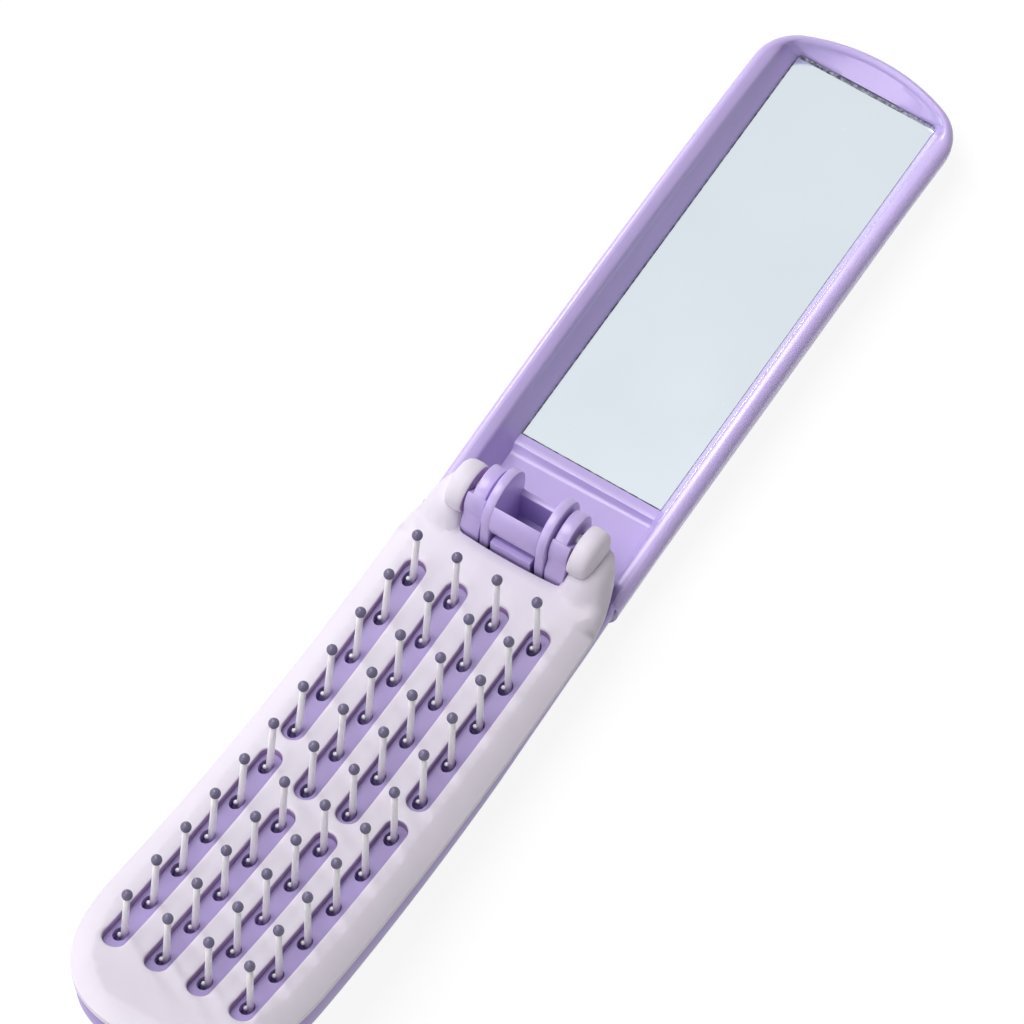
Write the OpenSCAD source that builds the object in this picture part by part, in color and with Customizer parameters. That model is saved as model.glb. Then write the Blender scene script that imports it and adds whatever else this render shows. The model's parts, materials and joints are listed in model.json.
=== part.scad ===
// Folding hairbrush with a mirror in its handle.
// Millimetres. +Z is up and +Y runs towards the handle's end. The origin is at the middle of the
// open brush's footprint, on the surface that it rests on.
// Every module draws in the hinge's own frame, where the fold axis is the X axis, the head lies
// towards -Y and the handle towards +Y. place() moves that frame to the part's frame.

/* [Overall] */

// Fold axis above the surface that the open brush rests on
base_drop = 16.5; // [16:0.1:19]
// Radial clearance of a pin or rod that turns in its bore
turn_fit = 0.05; // [0.02:0.01:0.1]
// Gap between parts that pass each other as the brush folds
pass_gap = 0.25; // [0.2:0.05:0.4]

/* [Head] */

// Width of the head at the hinge end
head_w_near = 34.8; // [34:0.1:37]
// Width of the head where its rounded tip begins
head_w_far = 36.3; // [35.8:0.1:42]
// Last row of bristles to the head's tip
tip_margin = 15.45; // [15.2:0.05:26]
// Length of the rounded tip
tip_len = 24.3; // [22:0.1:28]
// How square the tip is, from 2 for an ellipse
tip_power = 2.5; // [2.2:0.1:3.5]
// Radius of the lengthwise curve of the bristle face
face_r = 217.8; // [205:0.1:260]
// Fold axis to the lowest place of the bristle face, along the head
face_low_y = 23; // [18:0.5:30]
// Fold axis down to the lowest place of the bristle face
face_drop = 4.8; // [4:0.1:5.5]
// Thickness of the front plate
plate_t = 3; // [2.4:0.1:3.4]
// Rounding of the front plate's upper edge
plate_edge_r = 1.9; // [0.8:0.1:2.4]
// Height of the head's tip
tip_height = 10.4; // [10.3:0.1:12]
// Depth of the flat strip that the head's curved back rests on
back_flat = 0.4; // [0.2:0.1:0.8]
// Rounding of the back's lower edge
back_edge_r = 6.5; // [3:0.1:7]
// Wall of the back shell
shell_t = 1.6; // [1.2:0.1:1.8]
// Width of the shelf inside the back shell that carries the bristle bed
shelf_w = 2.2; // [1.8:0.1:2.6]

/* [Bristles] */

// Fold axis to the first row, along the head
row_near = 15.57; // [15:0.1:18]
// Spacing of the rows, along the curve of the face
row_pitch = 7.85; // [7.2:0.05:8.1]
// Spacing of the four columns
col_pitch = 7.37; // [6.8:0.01:7.6]
// Face of the front plate down to the axis of the row rods
rod_depth = 4.2; // [4.1:0.1:4.8]
// Diameter of a row rod
rod_d = 1.6; // [1.4:0.1:1.8]
// Length of a row rod
rod_len = 28; // [25:0.5:28.5]
// Rod axis to the middle of the bead
bristle_len = 14.8; // [12:0.1:15.5]
// How much shorter the bristles of the last row are
last_row_less = 1; // [0.6:0.1:2]
// Diameter of a bristle pin
bristle_d = 1.15; // [0.9:0.05:1.3]
// Diameter of a bead
bead_d = 1.7; // [1.5:0.05:2]
// Height of the straight middle of a bead
bead_waist = 0.25; // [0.05:0.05:0.5]
// Lean of the bristles towards the handle in the open brush, in degrees
bristle_lean = 3.7; // [2:0.1:4.5]
// Inward lean of the two outer columns, in degrees
lean_outer = 1.9; // [0:0.1:3]
// Inward lean of the two inner columns, in degrees
lean_inner = 0.6; // [0:0.1:1.5]

/* [Slots in the front plate] */

// Width of a slot
slot_w = 3.75; // [3.2:0.05:4.2]
// First bristle of a slot to the slot's end near the hinge
slot_near = 2.3; // [2:0.05:2.5]
// Last bristle of a slot to the slot's end near the tip
slot_far = 3.5; // [3.2:0.05:3.8]

/* [Bristle bed and slide] */

// Thickness of the bristle bed
bed_t = 2.8; // [2.4:0.1:3]
// Side of the pocket around each bristle, across the head
pocket_w = 2.3; // [2:0.1:2.8]
// Reach of that pocket towards the hinge
pocket_near = 1; // [0.8:0.05:1.2]
// Reach of that pocket towards the tip
pocket_far = 1.3; // [1.2:0.05:1.6]
// Length of the levers below a rod, to the middle of the slide plate
lever_arm = 3; // [2.9:0.05:3.1]
// Diameter of a lever
lever_d = 1; // [0.8:0.05:1.1]
// Thickness of the slide plate
slide_t = 1.1; // [0.8:0.05:1.2]
// Width of the slide plate
slide_w = 18.4; // [17.6:0.1:20]
// Play on each side of a lever in its slot
lever_play = 0.3; // [0.25:0.01:0.45]
// Width of the tongue that the hinge cam moves
tongue_w = 7; // [4:0.1:7.4]
// Thickness of the tongue
tongue_t = 1.2; // [0.9:0.05:1.25]
// Height of the leaf spring behind the slide plate
spring_h = 1.3; // [0.8:0.1:1.4]
// Thickness of the leaf spring
spring_t = 0.3; // [0.2:0.05:0.4]
// Half of the leaf spring's span
spring_half = 5; // [4:0.1:6]

/* [Handle] */

// Width of the handle
handle_w = 34.8; // [34:0.1:40]
// Fold axis to the handle's end
handle_reach = 102.3; // [101.5:0.1:104.5]
// Radius of the curve across the handle's end
end_r = 31; // [26:0.5:60]
// Radius of the handle's two end corners
corner_r = 8; // [5:0.1:11]
// Radius of the lengthwise curve of the handle's rim
rim_r = 650; // [500:10:900]
// Fold axis down to the rim's highest place
rim_drop = 6.75; // [6.6:0.05:7.4]
// Fold axis to the rim's highest place, along the handle
rim_mid_y = 45; // [40:0.5:50]
// Width of the rim
rim_w = 3.1; // [2.4:0.1:3.4]
// Rounding of the rim's outer edge
rim_edge_r = 1.8; // [0.8:0.1:2.2]
// Rounding of the handle's lower edge
base_edge_r = 7.5; // [4:0.1:7.8]
// How much narrower the tray is at the mirror than at the rim, on each side
tray_draft = 1.6; // [1:0.05:1.7]
// Far wall of the tray to the handle's end, at the rim
end_wall = 2.9; // [2.5:0.05:3]
// Slope of the tray's far wall between the rim and the mirror
end_draft = 1; // [0.2:0.05:1.1]
// Depth of the hinge end's floor below the mirror's face
floor_step = 1.25; // [0.6:0.05:1.4]
// Length of the raised ledge at the mirror's hinge end
ledge_len = 1.5; // [1:0.1:3]

/* [Mirror] */

// Width of the mirror
mirror_w = 25; // [20:0.1:25.2]
// Length of the mirror
mirror_l = 80.6; // [70:0.1:80.7]
// Thickness of the mirror glass
glass_t = 1.2; // [1:0.05:1.3]
// Thickness of the adhesive pad
pad_t = 0.5; // [0.3:0.05:0.6]
// Fold axis down to the mirror's face
mirror_drop = 12.75; // [12.6:0.05:13]
// Fold axis to the mirror's near edge
mirror_near = 17.3; // [17:0.1:17.4]
// Width of the bevel around the glass
glass_bevel = 0.35; // [0.1:0.05:0.6]
// Clearance around the mirror in its recess
mirror_play = 0.1; // [0.05:0.01:0.15]

/* [Hinge] */

// Radius of the drum between the hinge rings
drum_r = 5.2; // [5.1:0.05:5.3]
// Half of the drum's width
drum_half = 5.65; // [5.5:0.05:6]
// Thickness of the drum's two end discs
disc_t = 1.6; // [1:0.05:1.7]
// Radius of the eccentric cam between the discs
cam_r = 4.8; // [4.7:0.05:4.85]
// Offset of the cam's centre from the fold axis
cam_off = 0.32; // [0.25:0.01:0.34]
// Distance from the fold axis to the pocket's front wall
pocket_front = 3.2; // [2.8:0.05:3.4]
// Fold axis down to the step behind that wall
pocket_step = 1; // [0.6:0.05:1.3]
// Distance from the fold axis to the front wall of the pocket's deep part
pocket_deep_front = 1.2; // [0.6:0.05:1.6]
// Fold axis down to the pocket's floor
pocket_depth = 9; // [6:0.1:12]
// Fold axis down to the top of the pocket's low back wall
pocket_back_drop = 3.4; // [2.5:0.05:4]
// Thickness of that back wall
pocket_back_t = 1.3; // [1:0.05:2]
// Groove between the drum and a hinge ring
ring_groove = 0.2; // [0.1:0.05:0.4]
// Radius of a hinge ring
ring_r = 4.4; // [3.8:0.05:4.6]
// Width of a hinge ring
ring_w = 3.35; // [3:0.05:3.6]
// Gap between a ring and the ear beside it
ear_gap = 0.15; // [0.1:0.05:0.3]
// Width of an ear
ear_w = 3.65; // [3:0.05:3.8]
// Radius of an ear at its crown
ear_r = 3.5; // [3.2:0.05:3.8]
// Radius of the curve over an ear's crown
ear_crown_r = 4; // [3:0.1:6]
// Width of the shoulder beside an ear
shoulder_w = 2.3; // [1.5:0.05:2.6]
// Radius of that shoulder
shoulder_r = 3.4; // [3:0.05:3.6]
// Diameter of the two hinge pins
hinge_pin_d = 2.5; // [2:0.1:2.8]
// How far a hinge pin reaches into its ear
pin_seat = 2.9; // [2:0.05:3]
// Fold axis to the front edge of the notch in the head
notch_y = 5.9; // [5.8:0.05:6.3]
// Fold axis to the handle's flat end below the hinge
handle_end = 2.7; // [2.3:0.05:2.8]

/* [Hidden] */

eps = 0.01;
far = 60; // reach of cutting blocks that only have to run clear of the part
rows = 11;
cols = 4;
arc_steps = 12;

white = [0.89, 0.87, 0.91];
lilac = [0.73, 0.66, 0.86];
violet = [0.49, 0.39, 0.64];
bead_grey = [0.35, 0.33, 0.45];
steel = [0.72, 0.73, 0.75];
silver = [0.85, 0.88, 0.91];
foam = [0.25, 0.25, 0.27];

// Face of the head: a circle about an axis along X, high above the head.
face_cy = -face_low_y;
face_cz = face_r - face_drop;
seam_r = face_r + plate_t;
row_r = face_r + rod_depth;
bed_low_r = seam_r + bed_t;

// Rows lie on the row circle, an equal arc apart.
row_first_a = asin((face_low_y - row_near) / row_r);
row_step_a = row_pitch / row_r * 180 / PI;
function row_a(k) = row_first_a - row_step_a * (k - 1);
function row_y(k) = face_cy + row_r * sin(row_a(k));
function row_z(k) = face_cz - row_r * cos(row_a(k));
function col_x(c) = (c - (cols + 1) / 2) * col_pitch;
function col_lean(c) = (c == 1 || c == cols) ? lean_outer : lean_inner;
function bristle_l(k) = bristle_len - (k == rows ? last_row_less : 0);

// Head seen from above.
head_reach = -row_y(rows) + tip_margin;
head_end = handle_end + pass_gap;
tip_y = head_reach - tip_len;

// Back of the head: a circle through its lowest place and the lower edge of the tip.
tip_run = head_reach - face_low_y;
tip_rise = base_drop + back_flat - face_drop + face_r - sqrt(pow(face_r, 2) - pow(tip_run, 2)) - tip_height;
back_r = (pow(tip_run, 2) + pow(tip_rise, 2)) / (2 * tip_rise);
back_cz = back_r - base_drop - back_flat;

// Part frame: the footprint's middle.
shift_y = (head_reach - handle_reach) / 2;

// Slots: column, first row, last row.
slots = [[1, 1, 5], [1, 6, 11], [2, 1, 6], [2, 7, 11], [3, 1, 6], [3, 7, 11], [4, 1, 5], [4, 6, 11]];

// Slide plate, below the bed.
slide_r = row_r + lever_arm;
lever_l = lever_arm + slide_t / 2 + 0.05;
lever_y = -lever_arm * sin(bristle_lean);
slide_near = row_near - 4;
slide_far = -row_y(rows) + 2.8;
rib_x = 4.5;
rib_t = 1.2;
rib_gap = 0.3;
spring_seat_t = 1.2;
spring_bow_r = 6.4;
spring_gap = 0.1;
spring_lift = 0.4; // clears the shell's rising inner face

// Hinge, from the middle outwards.
cam_half = drum_half - disc_t;
drum_back = drum_r - 0.4;
ring_in = drum_half + ring_groove;
ring_out = ring_in + ring_w;
ear_in = ring_out + ear_gap;
ear_out = ear_in + ear_w;
notch_half = ear_in - eps;
cam_angle = 240; // direction of the cam's offset, from +Y towards +Z
nose_angle = 222; // where the tongue meets the cam
tongue_back = notch_y - pass_gap;

// Handle seen from above.
handle_half = handle_w / 2;
end_cy = handle_reach - end_r;
corner_cx = handle_half - corner_r;
corner_cy = end_cy + sqrt(pow(end_r - corner_r, 2) - pow(corner_cx, 2));
corner_a = atan2(corner_cy - end_cy, corner_cx);
tray_half = handle_half - rim_w;
tray_far = handle_reach - end_wall;
floor_drop = mirror_drop + floor_step;
recess_drop = mirror_drop + glass_t + pad_t;

// Points of a round stretch in the plane, from one angle to another.
function arc(x, y, r, a0, a1, steps = arc_steps) =
    [for (i = [0:steps]) let (a = a0 + (a1 - a0) * i / steps) [x + r * cos(a), y + r * sin(a)]];

// Points of a half oval that bulges towards -Y: with a power of 2 it is an ellipse.
function half_oval(y, a, b, power, steps = 48) = [
    for (i = [0:steps])
        let (c = cos(180 * i / steps), s = sin(180 * i / steps))
            [a * sign(c) * pow(abs(c), 2 / power), y - b * pow(s, 2 / power)]
];

function two_digits(k) = k < 10 ? str("0", k) : str(k);

module place()
    translate([0, shift_y, base_drop])
        children();

// Cylinder about an axis along X.
module rod(len, r, x = 0, y = 0, z = 0, steps = 64)
    translate([x, y, z])
        rotate([0, 90, 0])
            cylinder(h = len, r = r, center = true, $fn = steps);

// Solid of revolution about an axis along X. Its outline lies in the plane of radius and x,
// and it spans the angles a0 to a1, counted from straight down towards +Y.
module turned(y, z, a0, a1, steps = 720)
    translate([0, y, z])
        rotate([0, 90, 0])
            rotate([0, 0, a0])
                rotate_extrude(angle = a1 - a0, $fn = steps)
                    children();

// Prism along X over an outline in the plane of y and z.
module prism_x(x0, x1)
    translate([x0, 0, 0])
        rotate([90, 0, 90])
            linear_extrude(x1 - x0)
                children();

// Prism along Y over an outline in the plane of x and z.
module prism_y(y0, y1)
    translate([0, y1, 0])
        rotate([90, 0, 0])
            linear_extrude(y1 - y0)
                children();

// Block between two corners.
module block(low, high)
    translate(low)
        cube(high - low);

module both_sides()
    for (side = [0, 1])
        mirror([side, 0, 0])
            children();

// ---- head ----

// The head from above, drawn in by an even margin.
module head_plan(inset = 0) {
    a = head_w_far / 2 - inset;
    near = head_w_near / 2 - inset;
    polygon(concat(
        [[near, -head_end - inset]],
        half_oval(-tip_y, a, tip_len - inset, tip_power),
        [[-near, -head_end - inset]]
    ));
}

module head_prism(inset = 0)
    translate([0, 0, -far])
        linear_extrude(2 * far)
            head_plan(inset);

// All that lies above a curve concentric with the face.
module above(r, cz = face_cz)
    rod(2 * far, r, 0, face_cy, cz, 720);

// The head from the side: only the tip's upper and lower roundings cut the head.
module head_side() {
    up_y = -head_reach + plate_edge_r;
    up_z = face_cz - sqrt(pow(face_r + plate_edge_r, 2) - pow(up_y - face_cy, 2));
    up_a = atan2(face_cz - up_z, face_cy - up_y) + 10;
    low_y = -head_reach + back_edge_r;
    low_z = back_cz - sqrt(pow(back_r - back_edge_r, 2) - pow(low_y - face_cy, 2));
    low_a = 180 + atan2(back_cz - low_z, face_cy - low_y) - 10;
    upper = arc(up_y, up_z, plate_edge_r, up_a, 180);
    lower = arc(low_y, low_z, back_edge_r, 180, low_a);
    prism_x(-far, far)
        polygon(concat(
            [[far, -far], [far, far], [upper[0][0], far]],
            upper,
            lower,
            [[lower[arc_steps][0], -far]]
        ));
}

// The head's curved form with rounded long edges: r0 and r1 are the radii at the top and the
// bottom about the curve's centre, round0 and round1 the roundings there.
module head_band(cz, r0, r1, round0, round1) {
    half = head_w_far / 2;
    turned(face_cy, cz, -32, 12)
        polygon(concat(
            arc(r0 + round0, half - round0, round0, 180, 90),
            arc(r1 - round1, half - round1, round1, 90, 0),
            arc(r1 - round1, -half + round1, round1, 0, -90),
            arc(r0 + round0, -half + round0, round0, -90, -180)
        ));
}

// Outer form of the head, above or below the seam between its two shells.
module head_upper()
    intersection() {
        head_prism();
        head_side();
        head_band(face_cz, face_r, seam_r + 2, plate_edge_r, eps);
    }

module head_lower()
    intersection() {
        head_prism();
        head_side();
        head_band(back_cz, back_r - 40, back_r, eps, back_edge_r);
    }

// A slot's outline, with round ends, cut straight down.
module slot(c, first, last) {
    y_near = row_y(first) + slot_near - slot_w / 2;
    y_far = row_y(last) - slot_far + slot_w / 2;
    translate([col_x(c), 0, -far]) {
        for (y = [y_near, y_far])
            translate([0, y, 0])
                cylinder(h = 2 * far, d = slot_w, $fn = 48);
        block([-slot_w / 2, y_far, 0], [slot_w / 2, y_near, 2 * far]);
    }
}

// Ear: a crowned barrel on an arm that rises from the plate, with a lower shoulder outside it.
module ear() {
    crown_x = (ear_in + ear_out) / 2 + 0.5;
    rise = ear_r - ear_crown_r;
    a_in = acos((ear_in - crown_x) / ear_crown_r);
    a_out = acos((ear_out - crown_x) / ear_crown_r);
    arm_r = ear_r - 0.6;
    rotate([0, 90, 0])
        rotate_extrude($fn = 96)
            polygon(concat(
                [[0, ear_out], [0, ear_in]],
                [for (p = arc(crown_x, rise, ear_crown_r, a_in, a_out)) [p[1], p[0]]]
            ));
    prism_x(ear_in, ear_out)
        polygon(concat(
            arc(0, 0, arm_r, -50, 140),
            [[-notch_y - 2.6, -face_drop + 0.6], [-notch_y - 2.6, -far / 4], [-head_end, -far / 4]]
        ));
    shoulder();
}

module shoulder() {
    round = 1.2;
    translate([0, -2.5, -4])
        rotate([0, 90, 0])
            rotate_extrude($fn = 96)
                polygon(concat(
                    [[0, ear_out - 1]],
                    [[shoulder_r, ear_out - 1]],
                    arc(shoulder_r - round, ear_out + shoulder_w - round, round, 0, 90),
                    [[0, ear_out + shoulder_w]]
                ));
}

module front_plate()
    color(white)
        place()
            difference() {
                union() {
                    intersection() {
                        head_upper();
                        above(seam_r);
                    }
                    both_sides()
                        intersection() {
                            ear();
                            above(seam_r);
                        }
                }
                difference() {
                    above(face_r);
                    block([-far, -notch_y - 3, -far], [far, far, far]);
                }
                for (s = slots)
                    slot(s[0], s[1], s[2]);
                block([-notch_half, -notch_y, -far], [notch_half, far, far]);
                rod(2 * (ear_in + pin_seat), hinge_pin_d / 2);
            }

module head_back_shell()
    color(violet)
        place()
            difference() {
                union() {
                    difference() {
                        head_lower();
                        above(seam_r);
                        block([-far, -far * 3, -far], [far, far, -base_drop]);
                        back_cavity();
                    }
                    slide_ribs();
                    spring_seat();
                }
                tongue_window();
            }

// Hollow of the back shell: the bed's pocket above the shelf, the slide's space below it.
module back_cavity() {
    intersection() {
        head_prism(shell_t);
        above(bed_low_r);
    }
    intersection() {
        head_prism(shell_t + shelf_w);
        above(back_r - shell_t, back_cz);
        block([-far, -far * 3, -base_drop + shell_t], [far, far, far]);
    }
}

module slide_ribs()
    intersection() {
        difference() {
            union()
                for (x = [-rib_x, rib_x])
                    block(
                        [x - rib_t / 2, -slide_far, -base_drop + shell_t / 2],
                        [x + rib_t / 2, -slide_near, far]
                    );
            above(slide_r + slide_t / 2 + rib_gap);
        }
        above(back_r - shell_t / 2, back_cz);
    }

// Low wall that the leaf spring leans on.
module spring_seat() {
    seat_y = -spring_end_y() - spring_gap;
    intersection() {
        block(
            [-spring_half - 1, seat_y - spring_seat_t, -far],
            [spring_half + 1, seat_y, face_cz - row_zdrop(seat_y)]
        );
        above(back_r - shell_t / 2, back_cz);
    }
}

function row_zdrop(y) = sqrt(pow(row_r + lever_arm - slide_t, 2) - pow(y - face_cy, 2));
function spring_end_y() =
    slide_far + spring_bow_r - sqrt(pow(spring_bow_r - spring_t, 2) - pow(spring_half, 2));

module tongue_window()
    block(
        [-tongue_w / 2 - 2 * pass_gap, -head_end - shell_t - shelf_w - eps, -base_drop + shell_t + 1],
        [tongue_w / 2 + 2 * pass_gap, far, far]
    );

// ---- bristle bed and its rows ----

module bristle_bed()
    color(violet)
        place()
            difference() {
                intersection() {
                    head_prism(shell_t + 0.05);
                    above(bed_low_r);
                    block([-far, -head_reach, -far], [far, -row_near + 4.1, far]);
                }
                above(seam_r);
                for (k = [1:rows])
                    row_cutter(k);
            }

module row_cutter(k) {
    r = rod_d / 2 + turn_fit;
    lip = r * 0.8;
    window = lever_d / 2 + lever_play + 0.1;
    translate([0, row_y(k), row_z(k)]) {
        rod(2 * far, r);
        block([-far, -lip, -far / 2], [far, lip, 0]);
        for (c = [1:cols])
            block([col_x(c) - pocket_w / 2, -pocket_far, 0], [col_x(c) + pocket_w / 2, pocket_near, far / 2]);
        for (x = [-col_pitch, col_pitch])
            block([x - window, -1.3, -far / 2], [x + window, 1.6, 0]);
    }
}

// Frame of a row: its origin on the rod's axis, +Z along the bristles.
module row_frame(k)
    place()
        translate([0, row_y(k), row_z(k)])
            rotate([-bristle_lean, 0, 0])
                children();

// Frame of one bristle within its row.
module bristle_frame(c)
    translate([col_x(c), 0, 0])
        rotate([0, -sign(col_x(c)) * col_lean(c), 0])
            children();

module bristle_row(k)
    color(white)
        row_frame(k) {
            rod(rod_len, rod_d / 2, steps = 32);
            for (c = [1:cols])
                bristle_frame(c)
                    cylinder(h = bristle_l(k), d = bristle_d, $fn = 24);
            for (x = [-col_pitch, col_pitch])
                translate([x, 0, -lever_l])
                    cylinder(h = lever_l, d = lever_d, $fn = 24);
        }

// Beads of one row, each seated on the end of its bristle.
module bristle_tips(k)
    color(bead_grey)
        row_frame(k)
            for (c = [1:cols])
                bristle_frame(c)
                    translate([0, 0, bristle_l(k)])
                        difference() {
                            union() {
                                for (z = [-bead_waist / 2, bead_waist / 2])
                                    translate([0, 0, z])
                                        sphere(d = bead_d, $fn = 32);
                                cylinder(h = bead_waist, d = bead_d, center = true, $fn = 32);
                            }
                            translate([0, 0, -bead_d])
                                cylinder(h = bead_d, d = bristle_d, $fn = 24);
                        }

// ---- slide ----

module slide_plate()
    color(violet)
        place()
            difference() {
                union() {
                    intersection() {
                        difference() {
                            above(slide_r + slide_t / 2);
                            above(slide_r - slide_t / 2);
                        }
                        block([-slide_w / 2, -slide_far, -far], [slide_w / 2, -slide_near, far]);
                    }
                    tongue();
                }
                for (k = [1:rows])
                    for (x = [-col_pitch, col_pitch])
                        lever_slot(x, row_y(k) + lever_y);
            }

module lever_slot(x, y) {
    half_x = lever_d / 2 + lever_play;
    half_y = half_x + 0.15;
    block([x - half_x, y - half_y, -far], [x + half_x, y + half_y, far]);
}

// Tongue: it runs from the slide plate to the drum and stands up in front of the head's notch.
module tongue() {
    low = face_cz - sqrt(pow(slide_r + slide_t / 2, 2) - pow(face_low_y - slide_near, 2));
    nose_r = cam_r + cam_off + pass_gap;
    nose = [nose_r * cos(nose_angle), nose_r * sin(nose_angle)];
    front = -tongue_back + tongue_t;
    prism_x(-tongue_w / 2, tongue_w / 2)
        polygon([
            [-slide_near - 1, low],
            [front, low],
            [front, nose[1] - (nose[0] - front) - 0.8],
            [nose[0], nose[1] - 0.5],
            nose,
            [nose[0] - 0.7, nose[1] + 0.3],
            [-tongue_back, nose[1] + 0.3],
            [-tongue_back, low + slide_t],
            [-slide_near - 1, low + slide_t]
        ]);
}

// Bowed leaf that presses the slide plate towards the hinge.
module slide_spring() {
    half_a = asin(spring_half / (spring_bow_r - spring_t));
    floor_z = face_cz - sqrt(pow(slide_r + slide_t / 2, 2) - pow(slide_far - face_low_y, 2));
    color(steel)
        place()
            translate([0, -slide_far - spring_bow_r, floor_z + spring_lift])
                rotate([0, 0, 90 - half_a])
                    rotate_extrude(angle = 2 * half_a, $fn = 96)
                        translate([spring_bow_r - spring_t, 0])
                            square([spring_t, spring_h]);
}

// ---- handle ----

module handle_plan()
    polygon(concat(
        [[handle_half, -handle_end]],
        arc(corner_cx, corner_cy, corner_r, 0, corner_a),
        arc(0, end_cy, end_r, corner_a, 180 - corner_a, 24),
        arc(-corner_cx, corner_cy, corner_r, 180 - corner_a, 180),
        [[-handle_half, -handle_end]]
    ));

// Rim: a long convex curve about an axis far below, with rounded outer edges.
module handle_rim_band() {
    low_r = rim_r - 30;
    turned(rim_mid_y, -rim_drop - rim_r, 172, 188, 1440)
        polygon(concat(
            [[low_r, -handle_half]],
            arc(rim_r - rim_edge_r, -handle_half + rim_edge_r, rim_edge_r, -90, 0),
            arc(rim_r - rim_edge_r, handle_half - rim_edge_r, rim_edge_r, 0, 90),
            [[low_r, handle_half]]
        ));
}

// Handle from its end: rounded lower edges.
module handle_section()
    prism_y(-handle_end - 1, handle_reach + 1)
        polygon(concat(
            [[handle_half, 0], [-handle_half, 0]],
            arc(-handle_half + base_edge_r, -base_drop + base_edge_r, base_edge_r, 180, 270),
            arc(handle_half - base_edge_r, -base_drop + base_edge_r, base_edge_r, 270, 360)
        ));

// Handle from the side: rounded lower and upper edge at its end.
module handle_side() {
    top_z = -rim_drop - rim_r + sqrt(pow(rim_r, 2) - pow(handle_reach - rim_mid_y, 2));
    low_r = min(base_edge_r, base_drop + top_z - rim_edge_r);
    prism_x(-handle_half - 1, handle_half + 1)
        polygon(concat(
            [[-handle_end - 1, -base_drop]],
            arc(handle_reach - low_r, -base_drop + low_r, low_r, 270, 360),
            arc(handle_reach - rim_edge_r, top_z - rim_edge_r, rim_edge_r, 0, 80),
            [[handle_reach - rim_edge_r * 0.8, 0], [-handle_end - 1, 0]]
        ));
}

// Tray above the mirror, with sloping walls.
module tray() {
    low_half = tray_half - tray_draft;
    depth = mirror_drop - rim_drop;
    up = 8;
    grow = up / depth;
    intersection() {
        prism_y(-far, handle_reach)
            polygon([
                [-low_half, -mirror_drop],
                [low_half, -mirror_drop],
                [low_half + tray_draft * grow, -mirror_drop + up],
                [-low_half - tray_draft * grow, -mirror_drop + up]
            ]);
        prism_x(-far, far)
            polygon([
                [-far, -mirror_drop],
                [tray_far - end_draft, -mirror_drop],
                [tray_far - end_draft + end_draft * grow, -mirror_drop + up],
                [-far, -mirror_drop + up]
            ]);
    }
}

module handle_shell()
    color(lilac)
        place()
            difference() {
                union() {
                    difference() {
                        intersection() {
                            translate([0, 0, -far])
                                linear_extrude(2 * far)
                                    handle_plan();
                            handle_rim_band();
                            handle_section();
                            handle_side();
                        }
                        tray();
                        hinge_floor();
                        mirror_recess();
                    }
                    both_sides()
                        hinge_ring();
                }
                rod(4 * ring_out, hinge_pin_d / 2 + turn_fit);
            }

// Lower floor at the hinge end of the tray.
module hinge_floor() {
    half = tray_half - tray_draft;
    block([-half, -far, -floor_drop], [half, mirror_near - ledge_len, -mirror_drop + eps]);
}

module mirror_recess()
    block(
        [-mirror_w / 2 - mirror_play, mirror_near - mirror_play, -recess_drop],
        [mirror_w / 2 + mirror_play, mirror_near + mirror_l + mirror_play, -mirror_drop + eps]
    );

module hinge_ring() {
    rod(ring_w, ring_r, (ring_in + ring_out) / 2);
    block([ring_in, -handle_end, -floor_drop - 1], [ring_out, ring_r, 0]);
}

// Drum: two discs, an eccentric cam with a pocket between them, and a foot on the handle's floor.
module hinge_drum() {
    color(lilac)
        place()
            difference() {
                union() {
                    both_sides()
                        rod(disc_t, drum_r, drum_half - disc_t / 2);
                    rod(2 * cam_half + disc_t, cam_r, 0, cam_off * cos(cam_angle), cam_off * sin(cam_angle));
                    block([-drum_half, -handle_end, -floor_drop], [drum_half, drum_back, 0]);
                }
                block([-cam_half, -pocket_front, -pocket_step], [cam_half, far, far]);
                block([-cam_half, -pocket_deep_front, -pocket_back_drop], [cam_half, far, far]);
                block(
                    [-cam_half, -pocket_deep_front, -pocket_depth],
                    [cam_half, drum_back - pocket_back_t, 0]
                );
                rod(4 * drum_half, hinge_pin_d / 2 + turn_fit);
            }
}

// One pin on each side, from the inner face of the drum's disc into the ear.
module hinge_pin(side) {
    pin_l = ear_in + pin_seat - cam_half - eps;
    color(steel)
        place()
            rod(pin_l, hinge_pin_d / 2, side * (ear_in + pin_seat - pin_l / 2));
}

// ---- mirror ----

// Glass with a bevel around its upper face.
module mirror_glass()
    color(silver)
        place()
            intersection() {
                prism_y(mirror_near, mirror_near + mirror_l)
                    bevelled(-mirror_w / 2, mirror_w / 2);
                prism_x(-mirror_w / 2, mirror_w / 2)
                    bevelled(mirror_near, mirror_near + mirror_l);
            }

module bevelled(low, high)
    polygon([
        [low, -mirror_drop - glass_t],
        [high, -mirror_drop - glass_t],
        [high, -mirror_drop - glass_bevel],
        [high - glass_bevel, -mirror_drop],
        [low + glass_bevel, -mirror_drop],
        [low, -mirror_drop - glass_bevel]
    ]);

module mirror_pad() {
    margin = 0.4;
    color(foam)
        place()
            block(
                [-mirror_w / 2 + margin, mirror_near + margin, -recess_drop],
                [mirror_w / 2 - margin, mirror_near + mirror_l - margin, -recess_drop + pad_t]
            );
}

// ---- nodes ----

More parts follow.
